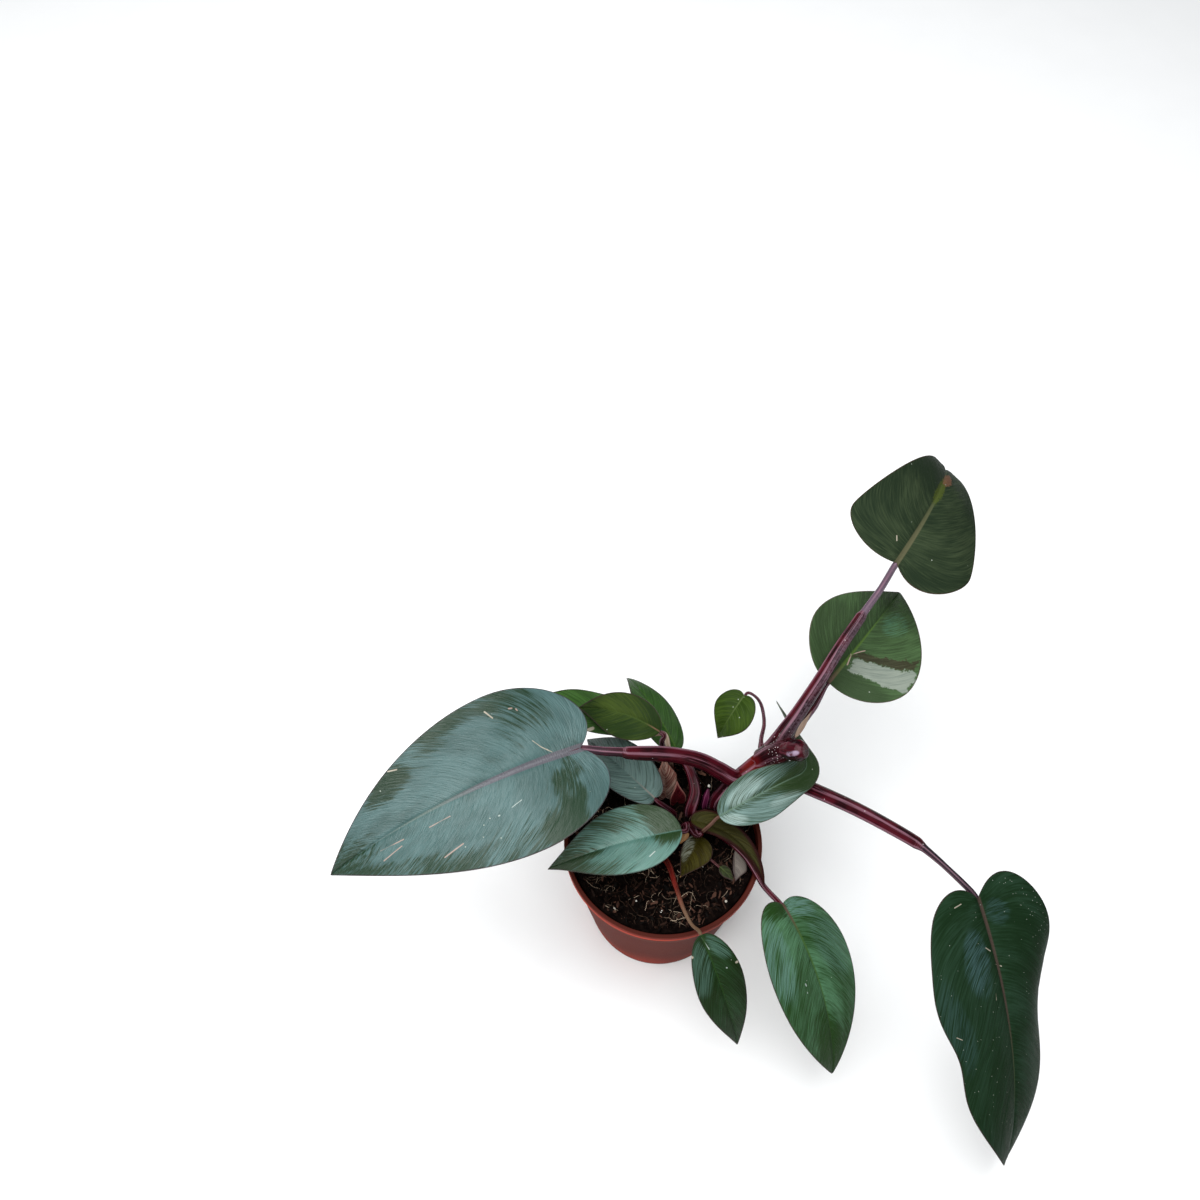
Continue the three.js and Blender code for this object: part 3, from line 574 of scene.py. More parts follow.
def blade_relief(blade, fields, seed):
    """How far the upper face stands off its smooth form, with a sunk midrib and faint side veins."""
    share, along, row, out, reach = np.moveaxis(fields, -1, 0)
    size = min(1, blade["length"] / FULL_RELIEF_LENGTH)
    rib = -RIB_SINK * size * np.exp(-(out / (RIB_SINK_WIDTH * size * (1.15 - along))) ** 2)
    away = np.abs((vein_flow(share, row) * VEINS) % 1 - 0.5) * 2
    inner = ease(np.abs(share), 0.02, 0.3) * ease(reach, 0, 6)
    vein = VEIN_DEPTH * size * inner * ease(1 - away, 0, 0.35)
    slow = UNEVENNESS * size * np.sin(row * 21 + seed + 3 * share) * np.sin(share * 5 + along * 7 + seed)
    return rib + vein + slow * ease(reach, 0, 4) * ease(out, 0, 5)


def blade_mesh(blade, seed):
    """Both faces of a blade, closed along the margin, with the points' leaf coordinates."""
    grid, fields = blade_grid(blade)
    rows, columns = grid.shape[:2]
    normal = unit(np.cross(np.gradient(grid, axis=1), np.gradient(grid, axis=0)))
    up = midrib_frames(blade)["up"]
    normal[0], normal[-1] = up[0], up[-1]
    share, along, _, out, _ = np.moveaxis(fields, -1, 0)
    thickness = BLADE_THICKNESS + (MARGIN_THICKNESS - BLADE_THICKNESS) * np.abs(share) ** 2
    passed = np.clip(along, 0, 1)
    rib = RIB_DEPTH * np.minimum(1, passed * 8) * (1 - passed) ** 0.8
    keel = rib * np.exp(-(out / RIB_WIDTH) ** 2) * min(1, blade["length"] / FULL_KEEL_LENGTH)
    relief = blade_relief(blade, fields, seed)
    top = grid + normal * (thickness / 2 + relief)[..., None]
    bottom = grid - normal * (thickness / 2 + keel - relief * 0.7)[..., None]
    count = rows * columns

    def spot(i, j):
        return i * columns + (0 if i in (0, rows - 1) else j)

    faces = grid_faces(rows, columns, spot)
    faces += [[corner + count for corner in face] for face in flipped(faces)]
    for i in range(rows - 1):
        for column, turn in ((0, 1), (columns - 1, -1)):
            a, b = spot(i, column), spot(i + 1, column)
            faces.append([a, b, b + count, a + count][::turn])
    points = np.concatenate([top.reshape(-1, 3), bottom.reshape(-1, 3)])
    return points, faces, np.concatenate([fields.reshape(-1, 5)] * 2)


def drop_loose(points, faces, values):
    """Leaves out the points that no face uses."""
    used = np.unique(np.concatenate(faces))
    place = np.full(len(points), -1)
    place[used] = np.arange(len(used))
    return points[used], [place[face].tolist() for face in faces], values[used]


def add_blade(name, seed, look):
    points, faces, fields = drop_loose(*blade_mesh(BLADES[name], seed))
    piece = new_piece(f"{name}_surface", points, faces, leaf_material(name, seed, look), name)
    flow = vein_flow(fields[:, 0], fields[:, 2])
    store(piece, "leaf", fields[:, :3])
    store(piece, "rib", np.stack([fields[:, 3], fields[:, 4], flow], -1))


# Stalks

def curve_points(corners, parts):
    """A smooth curve through the corners (centripetal Catmull-Rom), with "parts" steps for each span."""
    ends = np.vstack([2 * corners[0] - corners[1], corners, 2 * corners[-1] - corners[-2]])
    points = []
    for i, count in enumerate(parts):
        p0, p1, p2, p3 = ends[i:i + 4]
        d0, d1, d2 = (max(np.linalg.norm(b - a) ** 0.5, 1e-4) for a, b in ((p0, p1), (p1, p2), (p2, p3)))
        m1 = ((p1 - p0) / d0 - (p2 - p0) / (d0 + d1) + (p2 - p1) / d1) * d1
        m2 = ((p2 - p1) / d1 - (p3 - p1) / (d1 + d2) + (p3 - p2) / d2) * d1
        t = (np.arange(count) / count)[:, None]
        points.append(p1 + m1 * t + (-3 * p1 + 3 * p2 - 2 * m1 - m2) * t * t
                      + (2 * p1 - 2 * p2 + m1 + m2) * t ** 3)
    return np.vstack([*points, corners[-1:]])


def seat_points(stalk):
    """A stalk's last points: from behind the start of its blade, under it, and on along the midrib."""
    frames = midrib_frames(BLADES[stalk["under"]])
    points = []
    for step, share in SEAT_STEPS:
        radius = stalk["tip"] * share
        drop = BLADE_THICKNESS / 2 + radius * SEAT_SHARE
        points.append((*(frames["point"][step] - frames["up"][step] * drop), radius))
    step = SEAT_STEPS[0][0]
    behind = np.array(points[0][:3]) - frames["ahead"][step] * APPROACH - frames["up"][step] * APPROACH_DROP
    return [(*behind, stalk["tip"] * 1.1), *points]


def centreline(stalk):
    """A stalk's points, with the radius, the ways up and aside and the distance passed at each."""
    corners = np.array(stalk["points"] + (seat_points(stalk) if "under" in stalk else []), float)
    spans = np.linalg.norm(np.diff(corners[:, :3], axis=0), axis=1)
    parts = np.maximum(1, np.round(spans / TUBE_STEP)).astype(int)
    points = curve_points(corners[:, :3], parts)
    radius = np.interp(np.arange(len(points)), np.concatenate([[0], np.cumsum(parts)]), corners[:, 3])
    ahead = unit(np.gradient(points, axis=0))
    lean = np.array(GROOVE_WAY)
    up = unit(lean - ahead * (ahead @ lean)[:, None])
    side = np.cross(ahead, up)
    turn = math.radians(stalk.get("turn", 0))
    up, side = up * math.cos(turn) + side * math.sin(turn), side * math.cos(turn) - up * math.sin(turn)
    return {"points": points, "radius": radius, "up": up, "side": side, "distance": run_along(points)}


def tube_section(angle, depth):
    """The radius share round a stalk, with a groove between two low ridges at angle 0."""
    away = np.abs((angle + np.pi) % (2 * np.pi) - np.pi)
    groove = depth * np.exp(-(away / GROOVE_WIDTH) ** 2)
    return 1 - groove + RIDGE_HEIGHT * depth * np.exp(-((away - RIDGE_PLACE) / RIDGE_WIDTH) ** 2)


def tube_mesh(stalk):
    """A closed tube round a stalk's centreline, and each point's place round and along it."""
    line = centreline(stalk)
    angle = 2 * np.pi * np.arange(TUBE_SIDES) / TUBE_SIDES
    radius = line["radius"][:, None]
    depth = ease(radius, *GROOVE_FADE) * stalk.get("channel", 0)
    section = np.where(radius < GROOVE_START, 1, tube_section(angle, depth))
    points = rings_round(line["points"], line["up"], line["side"], radius * section, TUBE_SIDES)
    places = np.stack(np.broadcast_arrays(np.cos(angle), np.sin(angle), line["distance"][:, None]), -1)
    return points, flipped(tube_faces(len(radius), TUBE_SIDES)), places.reshape(-1, 3)


def fuse(piece):
    """Grows overlapping tubes together into one skin."""
    voxels = piece.modifiers.new("Fuse", "REMESH")
    voxels.mode = "VOXEL"
    voxels.voxel_size = FUSE_VOXEL * MM
    relax = piece.modifiers.new("Relax", "SMOOTH")
    relax.factor = RELAX_SHARE
    relax.iterations = RELAX_ROUNDS
    baked(piece)


def vertices_of(piece):
    points = np.zeros(len(piece.data.vertices) * 3)
    piece.data.vertices.foreach_get("co", points)
    return points.reshape(-1, 3) / MM


def nearest_places(vertices, stalks):
    """Each vertex's place round and along its nearest stalk, that stalk's number and its radius there."""
    lines = [centreline(stalk) for stalk in stalks]
    all_lines = {key: np.concatenate([line[key] for line in lines]) for key in lines[0]}
    points, radius = all_lines["points"], all_lines["radius"]
    number = np.concatenate([np.full(len(line["points"]), i) for i, line in enumerate(lines)])
    nearest = np.concatenate([
        np.argmin(np.linalg.norm(block[:, None] - points, axis=-1) - radius, axis=1)
        for block in np.array_split(vertices, VERTEX_BLOCKS)
    ])
    near = {key: rows[nearest] for key, rows in all_lines.items()}
    out = unit(vertices - near["points"])
    places = np.stack([(out * near["up"]).sum(-1), (out * near["side"]).sum(-1), near["distance"]], -1)
    return places, number[nearest], near["radius"]


def shoot_tones(vertices, number, radius):
    """How thin (pale above 0, inky below), how red, and how strongly the main shoot takes pale streaks on
    one side, which are partly its own colour and partly painted reflection.
    """
    tone = np.select([number == i for i in range(len(THIN_TONES))], THIN_TONES, 0)
    thin = (1 - ease(radius, *THIN_RADII)) * tone
    away = np.linalg.norm(vertices - np.array(RED_JOINT_PLACE), axis=1)
    crown = 1 - ease(away, RED_JOINT_SIZE * 0.3, RED_JOINT_SIZE)
    pale = 0.9 * (number == 3) + 0.6 * (number == 0) * ease(vertices[:, 2], *PALE_HEIGHTS)
    return np.stack([thin, crown, pale], -1)


def add_shoot(name, seed, look):
    stalks = SHOOTS[name]
    points, faces, places = joined([tube_mesh(stalk) for stalk in stalks])
    piece = new_piece(f"{name}_surface", points, faces, stalk_material(name, seed, look), name)
    tones = np.zeros_like(places)
    if len(stalks) > 1:
        fuse(piece)
        vertices = vertices_of(piece)
        places, number, radius = nearest_places(vertices, stalks)
        tones = shoot_tones(vertices, number, radius) if name == "main_shoot" else np.zeros_like(places)
    store(piece, "stalk", places)
    store(piece, "tone", tones)


def add_bud():
    """The furled new leaf at the crown, with the edge of its outer wrap as a low ridge."""
    stalk = dict(points=BUD_POINTS)
    line = centreline(stalk)
    rings = len(line["points"])
    angle = 2 * np.pi * np.arange(TUBE_SIDES) / TUBE_SIDES
    wrap = (angle / (2 * np.pi) + np.linspace(0, 1, rings)[:, None] * BUD_WRAP_TURNS) % 1
    radius = line["radius"][:, None] * (BUD_GIRTH + BUD_WRAP_DEPTH * wrap)
    points = rings_round(line["points"], line["up"], line["side"], radius, TUBE_SIDES)
    material = stalk_material("new_growth_bud", 3, BUD_LOOK)
    piece = new_piece("new_growth_bud_surface", points, flipped(tube_faces(rings, TUBE_SIDES)), material,
                      "new_growth_bud")
    fuse(piece)
    places, _, _ = nearest_places(vertices_of(piece), [stalk])
    store(piece, "stalk", places)
    store(piece, "tone", np.zeros_like(places))


# Materials

def rgb(code):
    """A colour from its hex code, as linear light."""
    parts = [int(code[i:i + 2], 16) / 255 for i in (1, 3, 5)]
    return tuple(p / 12.92 if p <= 0.04045 else ((p + 0.055) / 1.055) ** 2.4 for p in parts) + (1.0,)


class Value:
    """What a shader node gives. Sums, differences and products of values add the nodes for them."""

    def __init__(self, shader, socket):
        self.shader = shader
        self.socket = socket

    def __add__(self, other):
        return self.shader.math("ADD", self, other)

    def __sub__(self, other):
        return self.shader.math("SUBTRACT", self, other)

    def __rsub__(self, other):
        return self.shader.math("SUBTRACT", other, self)

    def __mul__(self, other):
        return self.shader.math("MULTIPLY", self, other)

    def rise(self, low, high):
        """0 up to low, 1 from high on, and a soft step between."""
        inputs = {"Value": self, "From Min": low, "From Max": high}
        return self.shader.node("MapRange", inputs, "Result", interpolation_type="SMOOTHSTEP")

    def fall(self, low, high):
        return 1 - self.rise(low, high)

    def between(self, low, high, soft):
        return self.rise(low - soft, low + soft) * self.fall(high - soft, high + soft)


class Shader:
    """A node material in the making. Colours are hex codes or values, and places are in millimetres."""

    def __init__(self, name):
        self.material = bpy.data.materials.new(name)
        self.material.use_nodes = True
        self.tree = self.material.node_tree
        self.surface = self.tree.nodes["Principled BSDF"].inputs
        self.color = None
        metres = self.node("TexCoord", {}, "Object")
        self.place = self.node("VectorMath", {0: metres, "Scale": 1 / MM}, operation="SCALE")

    def put(self, socket, value):
        if isinstance(value, Value):
            self.tree.links.new(value.socket, socket)
        else:
            socket.default_value = rgb(value) if isinstance(value, str) else value

    def node(self, kind, inputs, output=0, **settings):
        """One output of a new node with these inputs and settings."""
        node = self.tree.nodes.new(f"ShaderNode{kind}")
        for name, setting in settings.items():
            setattr(node, name, setting)
        for key, value in inputs.items():
            self.put(node.inputs[key], value)
        return Value(self, node.outputs[output])

    def math(self, operation, *values):
        return self.node("Math", dict(enumerate(values)), operation=operation)

    def vector(self, operation, *values):
        output = "Value" if operation in ("LENGTH", "DOT_PRODUCT") else "Vector"
        return self.node("VectorMath", dict(enumerate(values)), output, operation=operation)

    def split(self, vector):
        first = self.node("SeparateXYZ", {0: vector})
        return [Value(self, socket) for socket in first.socket.node.outputs]

    def join(self, x, y, z):
        return self.node("CombineXYZ", {0: x, 1: y, 2: z})

    def attribute(self, name):
        """The three parts of a vector that the piece stores."""
        return self.split(self.node("Attribute", {}, "Vector", attribute_name=name))

    def distance(self, centre):
        return self.vector("LENGTH", self.vector("SUBTRACT", self.place, centre))

    def noise(self, vector, scale, detail=2, rough=0.5):
        inputs = {"Vector": vector, "Scale": scale, "Detail": detail, "Roughness": rough}
        return self.node("TexNoise", inputs)

    def specks(self, scale, size, share):
        """Small round marks in a share of the cells."""
        cell = self.node("TexVoronoi", {"Vector": self.place, "Scale": scale}, "Color")
        away = Value(self, cell.socket.node.outputs["Distance"])
        return away.fall(size * 0.7, size) * self.math("LESS_THAN", self.split(cell)[0], share)

    def line_mark(self, start, end, radius):
        """A short line from one point to another, on the face of a blade between them."""
        lift = Vector((0, 0, BLADE_THICKNESS / 2))
        start, end = Vector(start) + lift, Vector(end) + lift
        run = end - start
        passed = self.vector("SUBTRACT", self.place, start)
        share = self.vector("DOT_PRODUCT", passed, run) * (1 / run.length_squared)
        share = self.math("MINIMUM", self.math("MAXIMUM", share, 0), 1)
        nearest = self.vector("MULTIPLY", self.join(share, share, share), run)
        away = self.vector("LENGTH", self.vector("SUBTRACT", passed, nearest))
        return away.fall(radius * 0.6, radius * 1.2)

    def mix(self, share, first, second):
        """A colour between two, the first where share is 0."""
        return self.node("Mix", {0: share, 6: first, 7: second}, 2, data_type="RGBA")

    def paint(self, share, color):
        """Lays a colour over what is there."""
        self.color = self.mix(share, self.color, color)

    def bump(self, height, distance):
        self.put(self.surface["Normal"], self.node("Bump", {"Height": height, "Distance": distance * MM}))

    def finish(self, roughness, specular):
        self.put(self.surface["Base Color"], self.color)
        self.put(self.surface["Roughness"], roughness)
        self.put(self.surface["Specular IOR Level"], specular)
        return self.material


# Leaf material

# deep is the leaf's own green. Over it lies a paler tone in broken streaks, partly the leaf's own and partly
# a painted reflection of the overhead light; on the grey-green leaves and the pink-brown sheath it is mostly
# painted reflection. cover, patchy and streak set how much of it shows, spots raise or lower it, and dark
# hairlines break it. bright is the colour of painted highlights.
LEAF_LOOK = dict(
    deep="#1d3320", sheen="#4f6a66", sheen2=None, cover=0.5, patchy=1, streak=1.6, hair=0.25,
    grain=(1.25, 18), spots=(), gleam=(), bright=None, rib="#5f6a55", rib_foot=None, rib_width=1.2,
    rib_reach=0.9, vein=0.1, vein_color="#6f8a68", margin="#3a2a2c", margin_width=0.5, margin_share=0.7,
    bands=(), lines=(), patches=(), speck=0.02, speck_scale=0.3, dust=(), rough=0.36, gloss=0.25, relief=0.6,
)
SPECK_COLOR = "#a9b0a4"


class Leaf(Shader):
    """A leaf's material, whose marks are placed in leaf coordinates."""

    def __init__(self, name, seed, look):
        super().__init__(name)
        self.look = SimpleNamespace(**{**LEAF_LOOK, **look})
        self.share, self.along, self.row = self.attribute("leaf")
        self.out, self.reach, self.flow = self.attribute("rib")
        self.width = self.math("ABSOLUTE", self.share)
        self.half_seed = self.math("SIGN", self.share) * 5 + seed * 3.7
        blade = BLADES[name]
        self.length, self.half = blade["length"], max(blade["left"], blade["right"])
        self.fine = self.veined(*self.look.grain, 4)
        self.hair = self.veined(0.55, 9, 1)
        self.cloud = self.veined(26, 30, 2)
        self.broken = self.fine + (self.hair - 0.5) * 0.7

    def veined(self, across, lengthwise, detail):
        """Noise drawn out along the side veins, with its grain in millimetres."""
        place = self.join(self.flow * (self.length / across), self.width * (self.half / lengthwise),
                          self.half_seed)
        return self.noise(place, 1, detail, 0.6)

    def spot(self, share, row, half_share, half_row):
        """A soft round mark."""
        across, up = (self.share - share) * (1 / half_share), (self.row - row) * (1 / half_row)
        return (across * across + up * up).fall(0.1, 1.4)

    def band(self, share_low, share_high, row_low, row_high, lean):
        """A ragged mark; "lean" is how far its rows climb towards the margin."""
        ragged = (self.noise(self.place, 0.3, 4, 0.7) - 0.5) * 0.09
        level = self.row - self.share * lean + ragged
        side = self.share + ragged * 3
        return level.between(row_low, row_high, 0.006) * side.between(share_low, share_high, 0.02)

    def paint_tissue_and_reflection(self):
        """Deep green, the leaf's own colour, under a paler tone broken into streaks that is partly painted
        reflection, with dark hairlines and painted highlights.
        """
        look = self.look
        zone = (self.cloud - 0.5) * look.patchy + look.cover
        for spot, strength in look.spots:
            zone += self.spot(*spot) * strength
        # The share of the paler tone, partly painted reflection, broken into streaks.
        sheen = (zone + (self.broken - 0.5) * look.streak).rise(0.2, 0.85)
        tone = self.mix(self.cloud.rise(0.35, 0.65), look.sheen, look.sheen2 or look.sheen)
        self.color = self.mix(sheen, look.deep, tone)
        self.paint(self.hair.rise(0.5, 0.75) * look.hair, look.deep)
        # Painted highlights in the bright colour, broken by the hairlines.
        for spot, strength in look.gleam:
            gleam = (self.spot(*spot) + (self.fine - 0.5) * 1.2).rise(0.35, 1)
            self.paint(gleam * self.hair.rise(0.35, 0.6) * strength, look.bright)

    def paint_veins(self):
        """Side veins, and a midrib that narrows towards the tip."""
        look = self.look
        to_vein = self.math("ABSOLUTE", self.math("FRACT", self.flow * VEINS) - 0.5)
        self.paint(to_vein.rise(0.455, 0.5) * self.width.fall(0.35, 0.9) * look.vein, look.vein_color)
        narrowing = self.math("POWER", self.along.fall(-0.15, 1.15), 1.5)
        rib = (self.out - narrowing * look.rib_width).fall(-0.4, 0.4)
        color = look.rib
        if look.rib_foot:
            foot, low, high = look.rib_foot
            color = self.mix(self.along.rise(low, high), foot, color)
        self.paint(rib * self.along.fall(look.rib_reach - 0.4, look.rib_reach + 0.1) * 0.85, color)

    def paint_marks(self):
        """The margin, then ragged bands, mottled patches, and lines: scratches, flecks and painted
        highlights.
        """
        look = self.look
        edge = self.reach.fall(look.margin_width * 0.4, look.margin_width * 1.3)
        self.paint(edge * look.margin_share, look.margin)
        for band, color, streak_color, strength in look.bands:
            streaked = self.mix(self.broken.rise(0.35, 0.8), color, streak_color)
            self.paint(self.band(*band) * strength, streaked)
        for spot, color in look.patches:
            near = self.spot(*spot)
            mottle = (self.noise(self.place, 0.7, 4, 0.7) - 0.5) * 2.6
            self.paint((near + mottle).rise(0.4, 0.75) * near.rise(0.05, 0.4) * 0.8, color)
        for start, end, radius, color in look.lines:
            self.paint(self.line_mark(start, end, radius) * 0.9, color)

    def paint_specks(self):
        density = self.look.speck
        for spot, strength in self.look.dust:
            density = self.spot(*spot) * strength + density
        speck = self.specks(self.look.speck_scale, 0.13, density)
        self.paint(speck * 0.8, SPECK_COLOR)
        return speck


def leaf_material(name, seed, look):
    leaf = Leaf(name, seed, look)
    leaf.paint_tissue_and_reflection()
    leaf.paint_veins()
    leaf.paint_marks()
    speck = leaf.paint_specks()
    grain = leaf.noise(leaf.place, 1.4, 3)
    leaf.bump(leaf.fine * 0.9 + leaf.hair * 0.5 + grain * 0.15, leaf.look.relief)
    return leaf.finish((leaf.hair - 0.5) * 0.3 + leaf.look.rough + speck * -0.12, leaf.look.gloss)


# Stalk material

# light is the colour of a painted highlight in a band on a stalk's upper side, over the groove's ridges, and
# ridge is its strength.
STALK_LOOK = dict(
    base="#420b16", dark="#1c0509", light="#8a6472", ridge=0.5, foot=None, tip=None, speck=0.03,
    droplets=None, glints=(), rough=0.26, gloss=0.1,
)
THIN_COLOR, INKY_COLOR, CROWN_COLOR, PALE_AND_PAINTED_SHEEN_COLOR = "#5a4a58", "#201a22", "#5c0d07", "#7d6a76"
DROPLET_COLOR = "#cdbfc0"


def paint_tones(shader, lines, wrinkles, side):
    """The main shoot's own colours where it is thin and at the crown, and pale streaks on one side that are
    partly its own colour and partly painted reflection.
    """
    thin, crown, pale = shader.attribute("tone")
    shader.paint(shader.math("MAXIMUM", thin, 0) * 0.85, THIN_COLOR)
    shader.paint(shader.math("MAXIMUM", thin * -1, 0) * 0.85, INKY_COLOR)
    streaks = lines.rise(0.35, 0.6) * 0.6 + wrinkles.rise(0.4, 0.65) * 0.4
    # Pale streaks on one side: partly the stalk's own colour, partly painted reflection.
    shader.paint(pale * streaks * side.rise(0.3, 0.8), PALE_AND_PAINTED_SHEEN_COLOR)
    shader.paint(crown * lines.rise(0.2, 0.5), CROWN_COLOR)
    return crown


def stalk_material(name, seed, look):
    look = SimpleNamespace(**{**STALK_LOOK, **look})
    shader = Shader(name)
    up, side, distance = shader.attribute("stalk")
    lines = shader.noise(shader.join(up * 4, side * 4, distance * 0.03 + seed), 1, 3, 0.65)
    wrinkles = shader.noise(shader.join(up * 1.5, side * 1.5, distance * 0.9), 1, 3, 0.7)
    cloud = shader.noise(shader.place, 0.09)
    shader.color = shader.mix((lines + (cloud - 0.5) * 0.8).rise(0.35, 0.65), look.dark, look.base)
    crown = paint_tones(shader, lines, wrinkles, side)
    # Painted highlight: the light colour in a band on the upper side, over the groove's ridges.
    shader.paint(up.rise(0.6, 0.8) * up.fall(0.85, 0.96) * lines.rise(0.4, 0.55) * look.ridge, look.light)
    if look.foot:
        color, low, high = look.foot
        shader.paint(distance.fall(low, high), color)
    if look.tip:
        color, low, high = look.tip
        shader.paint(distance.rise(low, high), color)
    # Painted highlights along the listed lines.
    for start, end, radius, color in look.glints:
        shader.paint(shader.line_mark(start, end, radius) * wrinkles.rise(0.35, 0.6) * 0.8, color)
    speck = shader.specks(0.45, 0.17, look.speck)
    if look.droplets:
        centre, size = look.droplets
        density = shader.distance(centre).fall(size * 0.3, size) * 0.6
        shader.paint(density * 0.8, look.dark)
        speck = shader.math("MAXIMUM", speck, shader.specks(0.7, 0.3, density) * lines.rise(0.3, 0.5))
    shader.paint(speck * 0.75, DROPLET_COLOR)
    shader.bump(lines + speck * 0.6, 0.25)
    return shader.finish((lines - 0.5) * 0.3 + look.rough + crown * 0.15, look.gloss)


# Other materials

def pot_material():
    """Plastic with scuffs and dust at the foot, painted shade at the top of the lip and the foot's edge, and
    painted shade with soil dust inside.
    """
    shader = Shader("terracotta_plastic")
    x, y, z = shader.split(shader.place)
    cloud = shader.noise(shader.place, 0.03, 4)
    grain = shader.noise(shader.place, 1.6, 3)
    scuff = shader.noise(shader.join(x * 0.5, y * 0.5, z * 0.09), 1, 4)
    shader.color = shader.mix(cloud.rise(0.3, 0.7), "#b03a26", "#bc422c")
    shader.paint(grain.rise(0.45, 0.75) * 0.3, "#a84a38")
    shader.paint(scuff.rise(0.6, 0.75) * 0.25, "#843a2a")
    # Painted shade: the top of the lip and the foot's edge, which catch the light, are darkened.
    shader.paint((z.rise(POT_HEIGHT - 3.4, POT_HEIGHT - 2.2) + z.fall(1, 3.5)) * 0.85, "#743630")
    # Painted shade with soil dust: near-black on the inside wall and the inner part of the rim.
    slope = (POT_RIM_RADIUS - POT_FOOT_RADIUS) / POT_HEIGHT
    radius = shader.vector("LENGTH", shader.join(x, y, 0))
    inside = POT_FOOT_RADIUS + POT_WALL * 0.3 - (radius - z * slope)
    shader.paint((inside + cloud * 0.8).rise(0.3, 1.3) * 0.85, "#2c130d")
    shader.paint(z.fall(0, 14) * cloud.rise(0.4, 0.65) * 0.3, "#5a3426")
    shader.bump(grain * 0.5 + scuff, 0.05)
    return shader.finish(grain * 0.2 + 0.42, 0.02)


def soil_material():
    shader = Shader("potting_mix")
    clump = shader.noise(shader.place, 0.25, 5, 0.65)
    crumb = shader.noise(shader.place, 1.3, 4, 0.7)
    shader.color = shader.mix(clump.rise(0.35, 0.65), "#040202", "#100a08")
    shader.paint(crumb.rise(0.55, 0.72) * 0.5, "#261811")
    shader.bump(clump + crumb, 0.9)
    return shader.finish(crumb * 0.3 + 0.7, 0.02)


def tinted_material(name, low, high, rough, relief):
    """A material for many small bits, each with a tint of its own between two colours."""
    shader = Shader(name)
    tint = shader.node("Attribute", {}, "Fac", attribute_name="tint")
    grain = shader.noise(shader.place, 1.5, 4, 0.6)
    shader.color = shader.mix((tint + (grain - 0.5) * 0.5).rise(0, 1), low, high)
    shader.bump(grain, relief)
    return shader.finish(grain * 0.2 + rough, 0.05)


# Pot

def pot_outer_radius(z):
    return POT_FOOT_RADIUS + (POT_RIM_RADIUS - LIP_STEP - BAND_STEP - POT_FOOT_RADIUS) * z / POT_HEIGHT


def pot_inner_radius(z):
    return pot_outer_radius(z) - POT_WALL


def arc(centre, radius, start, end, count):
    angles = np.radians(np.linspace(start, end, count + 1))
    return [(centre[0] + radius * math.cos(a), centre[1] + radius * math.sin(a)) for a in angles]


def pot_profile():
    """The pot's section from the middle of its foot, up the outside, over the rim and down the inside."""
    band = POT_HEIGHT - BAND_HEIGHT
    lip = POT_HEIGHT - LIP_HEIGHT
    rim = POT_HEIGHT - RIM_ROUND
    outside = [(0, 0), (20, 0), (40, 0)]
    outside += arc((pot_outer_radius(0) - FOOT_ROUND, FOOT_ROUND), FOOT_ROUND, -90, 0, 5)
    outside += [(pot_outer_radius(z), z) for z in np.linspace(6, band - 1, 14)]
    band_corner = (pot_outer_radius(band) + BAND_STEP - STEP_ROUND, band + STEP_ROUND)
    outside += arc(band_corner, STEP_ROUND, -70, 0, 3)
    outside += [(pot_outer_radius(z) + BAND_STEP, z) for z in (band + 3, band + 6, lip - 0.8)]
    outside += arc((POT_RIM_RADIUS - STEP_ROUND, lip + STEP_ROUND), STEP_ROUND, -80, 0, 3)
    outside += arc((POT_RIM_RADIUS - RIM_ROUND, rim), RIM_ROUND, 0, 90, 5)
    inside = arc((pot_inner_radius(POT_HEIGHT) + RIM_ROUND, rim), RIM_ROUND, 90, 180, 4)
    inside += [(pot_inner_radius(z), z) for z in np.linspace(POT_HEIGHT - 2, POT_FLOOR + 2, 12)]
    return outside + inside + [(pot_inner_radius(POT_FLOOR) - 1, POT_FLOOR), (20, POT_FLOOR), (0, POT_FLOOR)]


def lathe(profile, sides):
    """A closed body turned round the Z axis from a profile that starts and ends on the axis."""
    rings = [[(x, y, z) for x, y in circle(radius, sides)] for radius, z in profile[1:-1]]
    points = [(0, 0, profile[0][1]), *sum(rings, []), (0, 0, profile[-1][1])]
    return np.array(points, float), round_faces(len(rings), sides)


def drain_cutters():
    low, high = -2, POT_FLOOR + 2
    points, faces = lathe([(0, low), (DRAIN_RADIUS, low), (DRAIN_RADIUS, high), (0, high)], DRAIN_SIDES)
    holes = [(points + (x, y, 0), faces, 0) for x, y in circle(DRAIN_CIRCLE, DRAIN_HOLES)]
    points, faces, _ = joined(holes)
    return add_object("drain_cutters", new_mesh("drain_cutters", points, faces))


def add_pot():
    points, faces = lathe(pot_profile(), POT_SIDES)
    piece = new_piece("pot_surface", points, faces, pot_material(), "pot")
    cutters = drain_cutters()
    cut = piece.modifiers.new("Drains", "BOOLEAN")
    cut.operation = "DIFFERENCE"
    cut.object = cutters
    baked(piece)
    bpy.data.objects.remove(cutters)


# Soil

